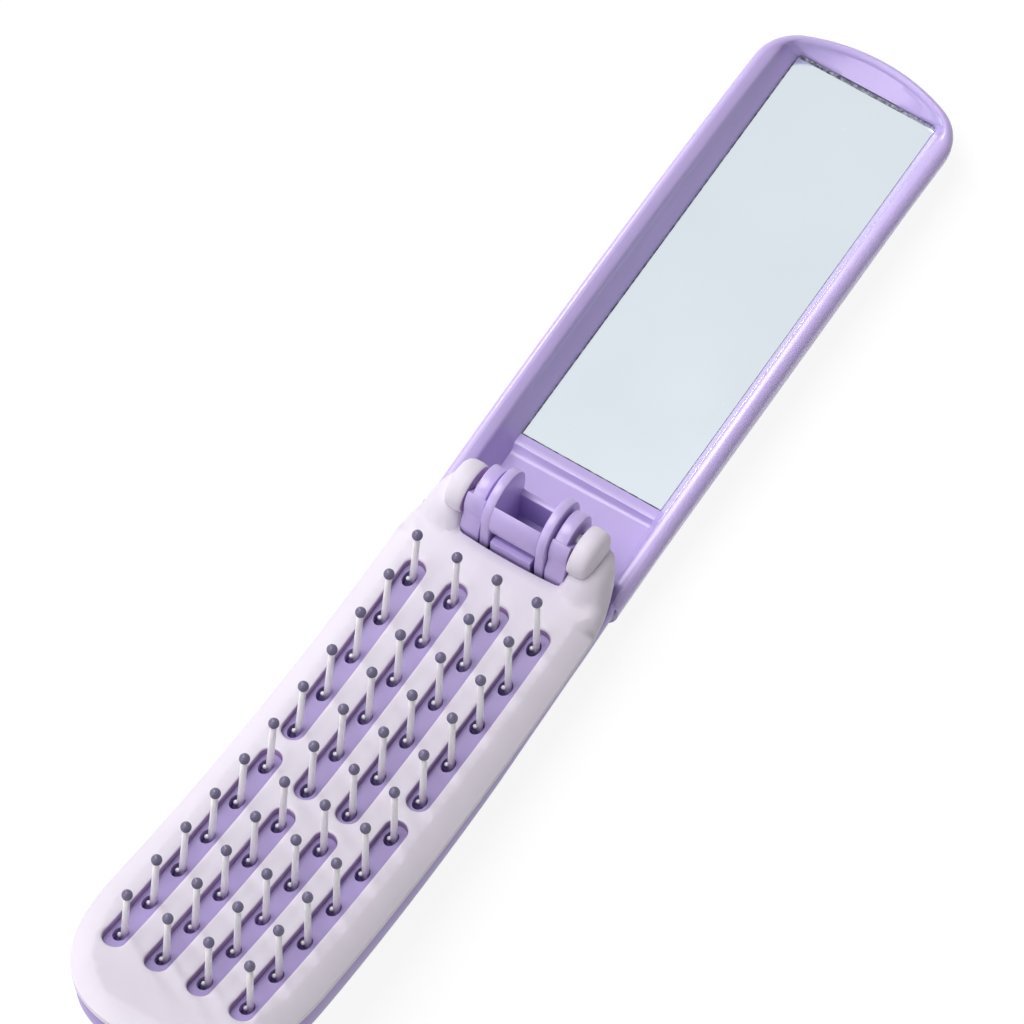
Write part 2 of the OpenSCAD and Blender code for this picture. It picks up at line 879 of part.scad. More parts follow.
handle_shell();
hinge_drum();
mirror_glass();
mirror_pad();
hinge_pin(-1);  // hinge_pin_left
hinge_pin(1);  // hinge_pin_right
front_plate();
head_back_shell();
bristle_bed();
slide_plate();
slide_spring();
bristle_row(1);  // bristle_row_01
bristle_row(2);  // bristle_row_02
bristle_row(3);  // bristle_row_03
bristle_row(4);  // bristle_row_04
bristle_row(5);  // bristle_row_05
bristle_row(6);  // bristle_row_06
bristle_row(7);  // bristle_row_07
bristle_row(8);  // bristle_row_08
bristle_row(9);  // bristle_row_09
bristle_row(10);  // bristle_row_10
bristle_row(11);  // bristle_row_11
bristle_tips(1);  // bristle_tips_01
bristle_tips(2);  // bristle_tips_02
bristle_tips(3);  // bristle_tips_03
bristle_tips(4);  // bristle_tips_04
bristle_tips(5);  // bristle_tips_05
bristle_tips(6);  // bristle_tips_06
bristle_tips(7);  // bristle_tips_07
bristle_tips(8);  // bristle_tips_08
bristle_tips(9);  // bristle_tips_09
bristle_tips(10);  // bristle_tips_10
bristle_tips(11);  // bristle_tips_11
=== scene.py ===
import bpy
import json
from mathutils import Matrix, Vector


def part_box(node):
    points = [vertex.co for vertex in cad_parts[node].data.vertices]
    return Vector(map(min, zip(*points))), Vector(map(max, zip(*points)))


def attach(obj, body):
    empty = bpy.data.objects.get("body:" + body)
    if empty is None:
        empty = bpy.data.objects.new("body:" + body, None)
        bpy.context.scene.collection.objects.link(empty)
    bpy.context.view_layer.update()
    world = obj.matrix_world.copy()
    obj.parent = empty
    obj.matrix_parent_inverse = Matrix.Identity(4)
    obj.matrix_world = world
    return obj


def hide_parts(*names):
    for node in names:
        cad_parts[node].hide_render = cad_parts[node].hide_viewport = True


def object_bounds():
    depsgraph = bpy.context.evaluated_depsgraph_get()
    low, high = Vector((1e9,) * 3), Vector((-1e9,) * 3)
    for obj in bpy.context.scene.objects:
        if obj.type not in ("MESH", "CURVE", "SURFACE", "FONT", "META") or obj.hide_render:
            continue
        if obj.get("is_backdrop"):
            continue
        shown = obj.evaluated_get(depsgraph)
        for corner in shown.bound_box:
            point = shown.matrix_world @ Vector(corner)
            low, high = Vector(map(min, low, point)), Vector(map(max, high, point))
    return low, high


bl_info = {
    "name": "Folding Hairbrush with Mirror",
    "version": (1, 0, 0),
    "blender": (4, 5, 0),
    "location": "View3D > Sidebar > Hairbrush",
    "description": "Dresses a folding hairbrush: slotted head, bristle rows, hinge, tray handle and mirror",
    "category": "Object",
}

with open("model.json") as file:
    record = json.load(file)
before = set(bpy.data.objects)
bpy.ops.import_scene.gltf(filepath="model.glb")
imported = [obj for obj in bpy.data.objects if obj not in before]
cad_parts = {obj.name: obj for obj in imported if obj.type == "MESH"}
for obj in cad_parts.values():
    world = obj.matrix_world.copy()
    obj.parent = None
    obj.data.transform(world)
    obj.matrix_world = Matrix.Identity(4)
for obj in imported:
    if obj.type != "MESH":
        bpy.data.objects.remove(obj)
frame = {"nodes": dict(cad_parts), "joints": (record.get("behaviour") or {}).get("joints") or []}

import json
import math

import bmesh
import bpy
from mathutils import Matrix, Vector
from mathutils.geometry import delaunay_2d_cdt

CAD_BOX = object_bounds()

# Shapes are worked out in millimetres from the fold axis: +Y to the handle, -Y to the head.
MM = 0.001
JOINTS = {joint["name"]: joint for joint in frame["joints"]}
HINGE = Vector(JOINTS["fold"]["pos_m"])
ROWS = sorted(name for name in JOINTS if name.startswith("row_tilt_"))


def place(point):
    """A point in millimetres from the fold axis, in metres in the part's frame."""
    return HINGE + Vector(point) * MM


def node_box(node):
    """Corners of a CAD node, in millimetres from the fold axis."""
    low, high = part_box(node)
    return (low - HINGE) / MM, (high - HINGE) / MM


# Positions of the row rods, in millimetres from the fold axis.
HUBS = [(Vector(JOINTS[name]["pos_m"]) - HINGE) / MM for name in ROWS]


# ---------------------------------------------------------------- sizes and colours


def length(name, description, default):
    """A size in metres that is written here in millimetres."""
    return bpy.props.FloatProperty(
        name=name, description=description, default=default * MM, unit="LENGTH", precision=5
    )


def colour(name, description, code):
    """A colour that is written here as an sRGB hex value."""
    return bpy.props.FloatVectorProperty(
        name=name, description=description, default=linear(code), subtype="COLOR", size=3, min=0, max=1
    )


def linear(code):
    """Linear red, green and blue of an sRGB hex value."""
    parts = [int(code[i:i + 2], 16) / 255 for i in (1, 3, 5)]
    return tuple(p / 12.92 if p <= 0.04045 else ((p + 0.055) / 1.055) ** 2.4 for p in parts)


class HeadSizes(bpy.types.PropertyGroup):
    face_radius: length("Face curve", "Radius of the lengthwise curve of the bristle face", 217.8)
    face_low: length("Face's lowest place", "Fold axis to the lowest place of the face, along the head", 23)
    face_drop: length("Face depth", "Fold axis down to the lowest place of the face", 4.8)
    plate: length("Plate", "Thickness of the front plate", 3)
    plate_round: length("Plate edge", "How deep the plate's outer edge is taken off", 1.9)
    land_drop: length("Land depth", "Plate's top down to the bristle bed's raised strips", 1.6)
    slot_width: length("Slot width", "Width of a bristle slot", 3.75)
    slot_round: length("Slot edge", "Rounding of a slot's upper edge", 0.35)
    near_width: length("Width at the hinge", "Width of the head at the hinge end", 34.8)
    far_width: length("Width at the tip", "Width of the head where its round tip begins", 36.3)
    tip: length("Tip", "Length of the rounded tip", 24.3)
    tip_power: bpy.props.FloatProperty(
        name="Tip fullness", default=2.5,
        description="Power of the tip's oval: 2 is an ellipse, more is squarer",
    )
    notch: length("Notch", "Fold axis to the front edge of the notch for the drum", 5.9)
    tip_height: length("Tip height", "Plate's top down to the back's underside at the tip", 10.4)
    back_round: length("Back edge", "Rounding of the back shell's lower edge at the hinge", 7)
    back_round_tip: length("Back edge at the tip", "Rounding of the back shell's lower edge at the tip", 2.5)


class HandleSizes(bpy.types.PropertyGroup):
    width: length("Width", "Width of the handle", 34.8)
    end_radius: length("End curve", "Radius of the curve across the handle's end", 31)
    corner: length("End corners", "Radius of the handle's end corners", 8)
    rim_drop: length("Rim depth", "Fold axis down to the rim's highest place", 6.75)
    rim_radius: length("Rim curve", "Radius of the rim's lengthwise curve", 650)
    rim_middle: length("Rim's highest place", "Fold axis to the rim's highest place, along the handle", 45)
    rim: length("Rim width", "Width of the rim", 3.1)
    rim_round: length("Rim edge", "Rounding of the rim's outer edge", 1.3)
    base_round: length("Base edge", "Rounding of the lower outer edge", 7.5)
    draft: length("Wall slope", "How much narrower the tray is at the mirror, on each side", 1.78)
    end_depth: length("End wall", "Handle's end to the foot of the tray's far wall", 4.2)
    floor_drop: length("Floor depth", "Fold axis down to the floor at the hinge", 14)
    drum: length("Drum radius", "Radius of the hinge drum", 5.2)
    ring: length("Ring radius", "Radius of the hinge rings", 4.4)


class BristleSizes(bpy.types.PropertyGroup):
    pitch: length("Column pitch", "Spacing of the four columns", 7.37)
    reach: length("Length", "Rod axis to the middle of a bead", 14.8)
    last_less: length("Last row", "How much shorter the last row is", 1)
    root: length("Root diameter", "Diameter of a bristle at its root", 1.15)
    neck: length("Neck diameter", "Diameter of a bristle under its bead", 1.0)
    bead: length("Bead", "Diameter of a bead", 1.7)
    # Painted highlight: the hub is a pale ball that stands in for the light on the shaded rod beside each
    # root.
    hub: length("Hub", "Diameter of the round hub beside a bristle's root", 0.74)
    rod: length("Rod", "Diameter of a row's rod", 1.6)
    rod_length: length("Rod length", "Length of a row's rod", 28)
    lean: bpy.props.FloatProperty(
        name="Lean", description="Lean of the open bristles to the handle",
        default=math.radians(3.7), subtype="ANGLE",
    )
    splay_outer: bpy.props.FloatProperty(
        name="Outer lean", description="Inward lean of the outer columns",
        default=math.radians(1.9), subtype="ANGLE",
    )
    splay_inner: bpy.props.FloatProperty(
        name="Inner lean", description="Inward lean of the inner columns",
        default=math.radians(0.6), subtype="ANGLE",
    )


class Finishes(bpy.types.PropertyGroup):
    white: colour("White plastic", "Front plate", "#DDD6E2")
    nylon: colour("Bristle plastic", "Bristle pins", "#FAF7FB")
    lilac: colour("Lilac plastic", "Handle and hinge drum", "#C3B1E5")
    violet: colour("Violet plastic", "Back shell of the head", "#A48FCF")
    bed: colour("Bed plastic", "Bristle bed under the slots", "#AC9CCE")
    # Painted shade: the slot walls and the ears' inner faces are the white plastic; this pink-violet paints
    # their shade and the violet light thrown onto them by the bed and the hinge.
    slot: colour("Slot walls", "White plastic that takes up the bed's colour", "#AC8CBA")
    # Painted shade: the rods are the pins' white plastic; this violet paints the shade of their pockets.
    rod: colour("Rods", "Bristle rods in the shade of their pockets", "#A48FCF")
    # Painted light: the hole walls are the bed's plastic; this paler copy lifts the shade in the holes.
    hole: colour("Root holes", "Walls of the holes round the bristles' roots", "#B8A0DA")
    bead: colour("Bead plastic", "Rounded ends of the bristles", "#635C7A")
    glass: colour("Mirror glass", "Tint of the silvered mirror", "#D9E1E8")


# ---------------------------------------------------------------- materials


def add_node(tree, kind, links=(), **settings):
    """Adds a node, sets its inputs (by name or number) and properties, and links it."""
    node = tree.nodes.new(kind)
    for key, value in settings.items():
        if key == "inputs":
            for socket, number in value.items():
                node.inputs[socket].default_value = number
        else:
            setattr(node, key, value)
    for source, socket in links:
        tree.links.new(source, node.inputs[socket])
    return node


def new_material(name):
    """An empty material with its output and a Principled shader."""
    material = bpy.data.materials.new(name)
    material.use_nodes = True
    tree = material.node_tree
    tree.nodes.clear()
    output = add_node(tree, "ShaderNodeOutputMaterial")
    shader = add_node(tree, "ShaderNodeBsdfPrincipled")
    tree.links.new(shader.outputs["BSDF"], output.inputs["Surface"])
    return material, tree, shader


def per_mm(size):
    """Texture scale, in metres, of a pattern whose features are this many millimetres apart."""
    return 1 / (size * MM)


def moulded_plastic(name, tone, cloud, gloss, scatter, grain_depth):
    """Injection-moulded plastic: even colour with faint flow clouds, a soft sheen and fine mould grain."""
    material, tree, shader = new_material(name)
    where = add_node(tree, "ShaderNodeTexCoord").outputs["Object"]
    clouds = add_node(tree, "ShaderNodeTexNoise", [(where, "Vector")],
                      inputs={"Scale": per_mm(14), "Detail": 3, "Roughness": 0.5})
    blend = add_node(tree, "ShaderNodeMapRange", [(clouds.outputs["Fac"], "Value")],
                     inputs={"From Min": 0.35, "From Max": 0.7})
    tint = add_node(tree, "ShaderNodeMix", [(blend.outputs["Result"], 0)], data_type="RGBA",
                    inputs={6: (*tone, 1), 7: (*(c * cloud for c in tone), 1)})
    tree.links.new(tint.outputs[2], shader.inputs["Base Color"])
    # Handling wears the sheen a little unevenly, in patches of about 6 mm.
    wear = add_node(tree, "ShaderNodeTexNoise", [(where, "Vector")],
                    inputs={"Scale": per_mm(6), "Detail": 4, "Roughness": 0.6})
    rough = add_node(tree, "ShaderNodeMapRange", [(wear.outputs["Fac"], "Value")],
                     inputs={"From Min": 0.3, "From Max": 0.7,
                             "To Min": gloss - 0.02, "To Max": gloss + 0.03})
    tree.links.new(rough.outputs["Result"], shader.inputs["Roughness"])
    # Mould grain is too fine to show, so it is drawn at about a third of a millimetre.
    fine = add_node(tree, "ShaderNodeTexNoise", [(where, "Vector")],
                    inputs={"Scale": per_mm(0.35), "Detail": 2})
    bump = add_node(tree, "ShaderNodeBump", [(fine.outputs["Fac"], "Height")],
                    inputs={"Strength": 0.12, "Distance": grain_depth * MM})
    tree.links.new(bump.outputs["Normal"], shader.inputs["Normal"])
    shader.inputs["IOR"].default_value = 1.53
    shader.inputs["Subsurface Weight"].default_value = scatter
    shader.inputs["Subsurface Radius"].default_value = (1.0, 0.75, 0.9)
    shader.inputs["Subsurface Scale"].default_value = 0.6 * MM
    return material


def mirror_silver(tint):
    """Silvered glass: a clean mirror whose backing gives a pale, slightly blue tone."""
    material, tree, shader = new_material("silvered_mirror")
    where = add_node(tree, "ShaderNodeTexCoord").outputs["Object"]
    haze = add_node(tree, "ShaderNodeTexNoise", [(where, "Vector")],
                    inputs={"Scale": per_mm(30), "Detail": 2})
    rough = add_node(tree, "ShaderNodeMapRange", [(haze.outputs["Fac"], "Value")],
                     inputs={"From Min": 0.3, "From Max": 0.7, "To Min": 0.12, "To Max": 0.18})
    tree.links.new(rough.outputs["Result"], shader.inputs["Roughness"])
    # Specks of dust and polishing marks, about 0.3 mm across.
    dust = add_node(tree, "ShaderNodeTexNoise", [(where, "Vector")],
                    inputs={"Scale": per_mm(0.8), "Detail": 2})
    specks = add_node(tree, "ShaderNodeMapRange", [(dust.outputs["Fac"], "Value")],
                      inputs={"From Min": 0.74, "From Max": 0.82, "To Max": 0.3})
    toned = add_node(tree, "ShaderNodeMix", [(specks.outputs["Result"], 0)], data_type="RGBA",
                     inputs={6: (*tint, 1), 7: (1, 1, 1, 1)})
    tree.links.new(toned.outputs[2], shader.inputs["Base Color"])
    shader.inputs["Metallic"].default_value = 1
    return material


def mirror_edge():
    """Cut edge of the glass round the silvered face: dark, with pale flecks of about 0.5 mm."""
    material, tree, shader = new_material("cut_glass_edge")
    where = add_node(tree, "ShaderNodeTexCoord").outputs["Object"]
    chips = add_node(tree, "ShaderNodeTexNoise", [(where, "Vector")],
                     inputs={"Scale": per_mm(0.9), "Detail": 5, "Roughness": 0.75})
    patches = add_node(tree, "ShaderNodeMapRange", [(chips.outputs["Fac"], "Value")],
                       inputs={"From Min": 0.4, "From Max": 0.62})
    tone = add_node(tree, "ShaderNodeMix", [(patches.outputs["Result"], 0)], data_type="RGBA",
                    inputs={6: (*linear("#3A3A46"), 1), 7: (*linear("#A9B0BC"), 1)})
    tree.links.new(tone.outputs[2], shader.inputs["Base Color"])
    shader.inputs["Metallic"].default_value = 0.3
    shader.inputs["Roughness"].default_value = 0.3
    return material


def plain_steel():
    """Drawn spring and pin steel: a grey metal with lines along its length, 0.2 mm apart."""
    material, tree, shader = new_material("drawn_steel")
    where = add_node(tree, "ShaderNodeTexCoord").outputs["Object"]
    along = add_node(tree, "ShaderNodeMapping", [(where, "Vector")], inputs={"Scale": (0.05, 1, 1)})
    lines = add_node(tree, "ShaderNodeTexNoise", [(along.outputs["Vector"], "Vector")],
                     inputs={"Scale": per_mm(0.2), "Detail": 2})
    rough = add_node(tree, "ShaderNodeMapRange", [(lines.outputs["Fac"], "Value")],
                     inputs={"To Min": 0.25, "To Max": 0.4})
    tree.links.new(rough.outputs["Result"], shader.inputs["Roughness"])
    shader.inputs["Base Color"].default_value = (*linear("#B8B9BD"), 1)
    shader.inputs["Metallic"].default_value = 1
    return material


def foam_tape():
    """Closed-cell foam tape: dark, matt, with cells of about 0.4 mm."""
    material, tree, shader = new_material("foam_tape")
    where = add_node(tree, "ShaderNodeTexCoord").outputs["Object"]
    cells = add_node(tree, "ShaderNodeTexVoronoi", [(where, "Vector")], inputs={"Scale": per_mm(0.4)})
    bump = add_node(tree, "ShaderNodeBump", [(cells.outputs["Distance"], "Height")],
                    inputs={"Strength": 0.4, "Distance": 0.05 * MM})
    tree.links.new(bump.outputs["Normal"], shader.inputs["Normal"])
    shader.inputs["Base Color"].default_value = (*linear("#3A3A3E"), 1)
    shader.inputs["Roughness"].default_value = 0.9
    return material


# Each plastic by its colour in Finishes: the material's name, how bright its flow clouds are (1 is
# even), its roughness, its share of light scattered inside, and its grain's depth in millimetres.
PLASTICS = {
    "white": ("white_abs", 0.97, 0.52, 0.25, 0.012),
    "lilac": ("lilac_abs", 0.96, 0.24, 0.2, 0.005),
    "violet": ("violet_abs", 0.96, 0.36, 0.15, 0.012),
    "bed": ("violet_polypropylene", 0.85, 0.45, 0.15, 0.012),
    # The next three are painted light and shade: shaded copies of the white plastic and of the pins' nylon,
    # and a paler copy of the bed's plastic that lifts the shade in the holes.
    "slot": ("white_abs_by_the_bed", 0.85, 0.45, 0.2, 0.012),
    "rod": ("shaded_polypropylene", 0.8, 0.5, 0, 0.012),
    "hole": ("polypropylene_in_shade", 0.8, 0.5, 0, 0.012),
    "nylon": ("white_nylon", 0.97, 0.35, 0.3, 0.012),
    "bead": ("grey_violet_nylon", 1.15, 0.17, 0.1, 0.012),
}
MATERIALS = {}


def finish(name):
    """One of the brush's materials, which are all made at the first call."""
    if not MATERIALS:
        tones = bpy.context.scene.brush_finishes
        for tone, (label, *look) in PLASTICS.items():
            MATERIALS[tone] = moulded_plastic(label, getattr(tones, tone), *look)
        MATERIALS["mirror"] = mirror_silver(tones.glass)
        MATERIALS["edge"] = mirror_edge()
        MATERIALS["steel"] = plain_steel()
        MATERIALS["foam"] = foam_tape()
    return MATERIALS[name]


# ---------------------------------------------------------------- mesh building


def put_in_scene(name, data):
    """A new object that holds the data, linked to the scene."""
    obj = bpy.data.objects.new(name, data)
    bpy.context.scene.collection.objects.link(obj)
    return obj


class Solid:
    """Points in millimetres and faces with their material's number, gathered for one piece."""

    def __init__(self):
        self.points = []
        self.faces = []
        self.marks = []

    def add(self, points, faces, mark=0):
        """Adds points, and faces that count from the first of them; gives that point's number."""
        start = len(self.points)
        self.points.extend(points)
        self.faces.extend(tuple(start + i for i in face) for face in faces)
        self.marks.extend([mark] * len(faces))
        return start

    def close(self, corners, mark=0):
        """Adds one face between points that are there already."""
        self.faces.append(tuple(corners))
        self.marks.append(mark)

    def loft(self, rings, closed=True, capped=True, mark=0):
        """Quads between rings of equal length, with a flat face on the first and last ring."""
        count = len(rings[0])
        span = count if closed else count - 1
        faces = []
        for r in range(len(rings) - 1):
            for i in range(span):
                a, b = r * count + i, r * count + (i + 1) % count
                faces.append((a, b, b + count, a + count))
        if capped:
            last = (len(rings) - 1) * count
            faces.append(tuple(reversed(range(count))))
            faces.append(tuple(last + i for i in range(count)))
        self.add([p for ring in rings for p in ring], faces, mark)

    def piece(self, name, materials, sharp=38):
        """The finished mesh object, in metres, with its faces pointing outwards."""
        mesh = bpy.data.meshes.new(name)
        mesh.from_pydata([place(p) for p in self.points], [], self.faces)
        for material in materials:
            mesh.materials.append(material)
        mesh.polygons.foreach_set("material_index", self.marks)
        obj = put_in_scene(name, mesh)
        tidy_mesh(obj, sharp)
        return obj


def tidy_mesh(obj, sharp):
    """Merges doubles, turns faces outwards and smooths all but the sharp edges."""
    work = bmesh.new()
    work.from_mesh(obj.data)
    bmesh.ops.remove_doubles(work, verts=work.verts, dist=0.002 * MM)
    bmesh.ops.dissolve_degenerate(work, edges=work.edges, dist=0.001 * MM)
    bmesh.ops.recalc_face_normals(work, faces=work.faces)
    work.to_mesh(obj.data)
    work.free()
    obj.data.polygons.foreach_set("use_smooth", [True] * len(obj.data.polygons))
    obj.data.set_sharp_from_angle(angle=math.radians(sharp))


def arc(cx, cy, radius, start, end, steps):
    """Points of a round stretch, from one angle to another, in degrees."""
    angles = [math.radians(start + (end - start) * i / steps) for i in range(steps + 1)]
    return [(cx + radius * math.cos(a), cy + radius * math.sin(a)) for a in angles]


def inset(outline, depth):
    """An outline's points moved to the left of its direction by an even depth, or right if it is negative."""
    moved = []
    count = len(outline)
    for i, (x, y) in enumerate(outline):
        ax, ay = outline[i - 1]
        bx, by = outline[(i + 1) % count]
        first = Vector((x - ax, y - ay)).normalized()
        second = Vector((bx - x, by - y)).normalized()
        normal = Vector((-first.y - second.y, first.x + second.x))
        scale = 2 / max(normal.length_squared, 1)
        moved.append((x + normal.x * scale * depth, y + normal.y * scale * depth))
    return moved


def prism_rings(profile, x0, x1, bevel):
    """Rings of a prism along X over an outline in y and z, with bevelled ends."""
    step = bevel if x1 > x0 else -bevel
    small = inset(profile, bevel)
    slight = inset(profile, bevel * 0.3)
    stations = [
        (x0, small), (x0 + step * 0.3, slight), (x0 + step, profile),
        (x1 - step, profile), (x1 - step * 0.3, slight), (x1, small),
    ]
    return [[(x, y, z) for y, z in outline] for x, outline in stations]


# ---------------------------------------------------------------- head


def head_sizes():
    """The head's sizes, in metres."""
    return bpy.context.scene.brush_head


def circle_z(y, radius, extra=0):
    """Height of the face's lengthwise curve, or of one that lies deeper by extra."""
    s = head_sizes()
    radius = radius / MM
    centre = radius - s.face_drop / MM
    return centre - math.sqrt((radius + extra) ** 2 - (y + s.face_low / MM) ** 2)


def face_z(y):
    """Height of the bristle face along the head."""
    return circle_z(y, head_sizes().face_radius)


def seam_z(y):
    """Height of the seam between the front plate and the back shell."""
    s = head_sizes()
    return circle_z(y, s.face_radius, s.plate / MM)


def head_tip():
    """How far the head reaches from the fold axis, from its CAD box."""
    return -node_box("front_plate")[0].y


def head_half(y):
    """Half width of the head at a place along it."""
    s = head_sizes()
    near, far = s.near_width / 2 / MM, s.far_width / 2 / MM
    start = head_tip() - s.tip / MM
    if y > -start:
        return near + (far - near) * (-y) / start
    return far * max(0, 1 - ((-y - start) / (s.tip / MM)) ** s.tip_power) ** (1 / s.tip_power)


def tip_arc(steps=32):
    """Points round the tip's oval, from the right side to the left."""
    s = head_sizes()
    half, deep = s.far_width / 2 / MM, s.tip / MM
    start = head_tip() - deep
    right = []
    for i in range(steps):
        a = math.pi / 2 * (i / steps) ** 1.25
        across, along = math.cos(a) ** (2 / s.tip_power), math.sin(a) ** (2 / s.tip_power)
        right.append((half * across, -start - deep * along))
    return right + [(0.0, -start - deep)] + [(-x, y) for x, y in reversed(right)]


def side_points(first, last, count):
    """Points down the right side, which is straight but for the taper."""
    ys = [first + (last - first) * i / count for i in range(count)]
    return [(head_half(y), y) for y in ys]


# Middle of the brush to the flat inner face of each ear.
EAR_FACE = 9.35
# Right shoulder beside the ear, from the ear's front round to the side of the head.
SHOULDER = [(EAR_FACE, -0.6), (9.8, 1.0), (10.8, 2.0), (12.1, 2.45), (13.3, 2.2), (14.2, 1.4), (14.9, 0.1),
            (15.6, -1.6), (16.3, -3.5), (16.9, -5.6), (17.25, -7.8)]


def plate_outline():
    """Outer edge of the front plate, clockwise from the notch: right side, tip and left side."""
    s = head_sizes()
    notch, bow_half, bow_depth = s.notch / MM, 8.3, 0.3
    right = smooth_path(SHOULDER, 4) + side_points(-9.5, -head_tip() + s.tip / MM, 60)
    left = [(-x, y) for x, y in reversed(right)]
    notch_right = [(8.8, 0.2 - notch), (9.2, 0.75 - notch), (EAR_FACE, 1.6 - notch), (EAR_FACE, 3.6 - notch)]
    bow = [(bow_half * t, -notch - bow_depth * (1 - t * t)) for t in [i / 10 for i in range(-10, 11)]]
    notch_left = [(-x, y) for x, y in reversed(notch_right)]
    return bow + notch_right + right + tip_arc()[:-1] + left + notch_left


def smooth_path(points, steps):
    """A curve through all the points, with extra points between them."""
    result = []
    ends = [points[0], *points, points[-1]]
    for i in range(1, len(ends) - 2):
        p0, p1, p2, p3 = (Vector(p) for p in ends[i - 1:i + 3])
        for k in range(steps):
            t = k / steps
            q = 0.5 * (2 * p1 + (p2 - p0) * t + (2 * p0 - 5 * p1 + 4 * p2 - p3) * t * t
                       + (3 * p1 - p0 - 3 * p2 + p3) * t ** 3)
            result.append((q.x, q.y))
    result.append(points[-1])
    return result


def slot_list():
    """Centre line of each slot: x, end near the hinge and end near the tip."""
    pitch = bpy.context.scene.brush_bristles.pitch / MM
    half = head_sizes().slot_width / 2 / MM
    # Columns from the middle, first and last row, and what the slot has before and beyond their rods.
    near, far, tip = 2.3, 2.9, 4.0
    spans = [(1.5, 0, 4, far), (1.5, 5, 10, tip), (0.5, 0, 5, far), (0.5, 6, 10, tip)]
    slots = []
    for column, first, last, beyond in spans:
        for side in (-1, 1):
            y_near, y_far = HUBS[first].y + near - half, HUBS[last].y - beyond + half
            slots.append((side * column * pitch, y_near, y_far))
    return slots


def slot_distance(slot, x, y):
    """Distance outside a slot's edge, negative inside it."""
    cx, y_near, y_far = slot
    dy = max(y - y_near, y_far - y, 0)
    return math.hypot(x - cx, dy) - head_sizes().slot_width / 2 / MM


def slot_ring(slot, grow, steps=12, spacing=1.2):
    """Points round a slot, grown by an even margin."""
    cx, y_near, y_far = slot
    radius = head_sizes().slot_width / 2 / MM + grow
    count = max(2, round((y_near - y_far) / spacing))
    top = arc(cx, y_near, radius, 0, 180, steps)
    bottom = arc(cx, y_far, radius, 180, 360, steps)
    left = [(cx - radius, y_near + (y_far - y_near) * i / count) for i in range(1, count)]
    right = [(cx + radius, y_far + (y_near - y_far) * i / count) for i in range(1, count)]
    return top + left + bottom + right


def edge_drop(distance, radius):
    """How far a rounded edge has dropped at a distance inside it."""
    if distance >= radius:
        return 0
    return radius - math.sqrt(max(0, radius ** 2 - (radius - max(distance, 0)) ** 2))


class Border:
    """Distance to an outline within reach of it, with its segments sorted into strips along the head."""

    def __init__(self, outline, strip=3.0, reach=4):
        self.strip = strip
        self.cells = {}
        count = len(outline)
        for i, a in enumerate(outline):
            b = outline[(i + 1) % count]
            low, high = sorted((a[1], b[1]))
            for cell in range(int((low - reach) // strip), int((high + reach) // strip) + 1):
                self.cells.setdefault(cell, []).append((a, b))

    def distance(self, x, y):
        """Distance from a point to the outline, or far more than any rounding where it is out of reach."""
        best = 99.0
        for (ax, ay), (bx, by) in self.cells.get(int(y // self.strip), ()):
            dx, dy = bx - ax, by - ay
            t = max(0, min(1, ((x - ax) * dx + (y - ay) * dy) / max(dx * dx + dy * dy, 1e-9)))
            best = min(best, math.hypot(x - ax - t * dx, y - ay - t * dy))
        return best


def inside(outline, x, y):
    """Whether a point lies inside a closed outline."""
    result = False
    count = len(outline)
    for i in range(count):
        ax, ay = outline[i]
        bx, by = outline[i - 1]
        if (ay > y) != (by > y) and x < (bx - ax) * (y - ay) / (by - ay) + ax:
            result = not result
    return result


def soft_max(a, b, width):
    """The greater of two heights, with a rounded valley where they meet."""
    h = max(width - abs(a - b), 0) / width
    return max(a, b) + h * h * width / 4


def plate_top(x, y):
    """Height of the front plate, with the shoulders that rise beside the ears."""
    flat = face_z(y)
    shoulder_end = -12
    if y < shoulder_end:
        return flat
    lobe_x, lobe_y, lobe_z = 12.2, -1.0, -4.9
    wide, long, high, valley = 4.6, 6.2, 4.6, 1.6
    away = ((abs(x) - lobe_x) / wide) ** 2 + ((y - lobe_y) / long) ** 2
    lobe = lobe_z + high * math.sqrt(1 - away) if away < 1 else lobe_z - 3 * (away - 1)
    return soft_max(flat, lobe, valley)


def add_ring(points, edges, ring):
    """Adds a closed line to a flat outline's points and edges."""
    start, count = len(points), len(ring)
    points.extend(ring)
    edges.extend((start + i, start + (i + 1) % count) for i in range(count))


def slab(solid, points, edges, top, bottom, keep, marked):
    """Fills flat outlines between an upper and a lower surface; walls of marked edges get material 1."""
    found = delaunay_2d_cdt([Vector(p) for p in points], edges, [], 0, 1e-4)
    flat, triangles = [tuple(v) for v in found[0]], found[2]
    kept = []
    for triangle in triangles:
        middle = [sum(flat[i][axis] for i in triangle) / 3 for axis in (0, 1)]
        if keep(*middle):
            kept.append(tuple(triangle))
    used = sorted({i for triangle in kept for i in triangle})
    index = {old: new for new, old in enumerate(used)}
    kept = [tuple(index[i] for i in triangle) for triangle in kept]
    flat = [flat[i] for i in used]
    count = len(flat)
    upper = [(x, y, top(x, y)) for x, y in flat]
    lower = [(x, y, bottom(x, y, z)) for x, y, z in upper]
    sides = {}
    for a, b, c in kept:
        for edge in ((a, b), (b, c), (c, a)):
            sides[tuple(sorted(edge))] = None if tuple(sorted(edge)) in sides else edge
    start = solid.add(upper + lower, kept + [tuple(i + count for i in reversed(t)) for t in kept])
    for a, b in (edge for edge in sides.values() if edge):
        solid.close([start + i for i in (b, a, a + count, b + count)], 1 if marked(*flat[a]) else 0)


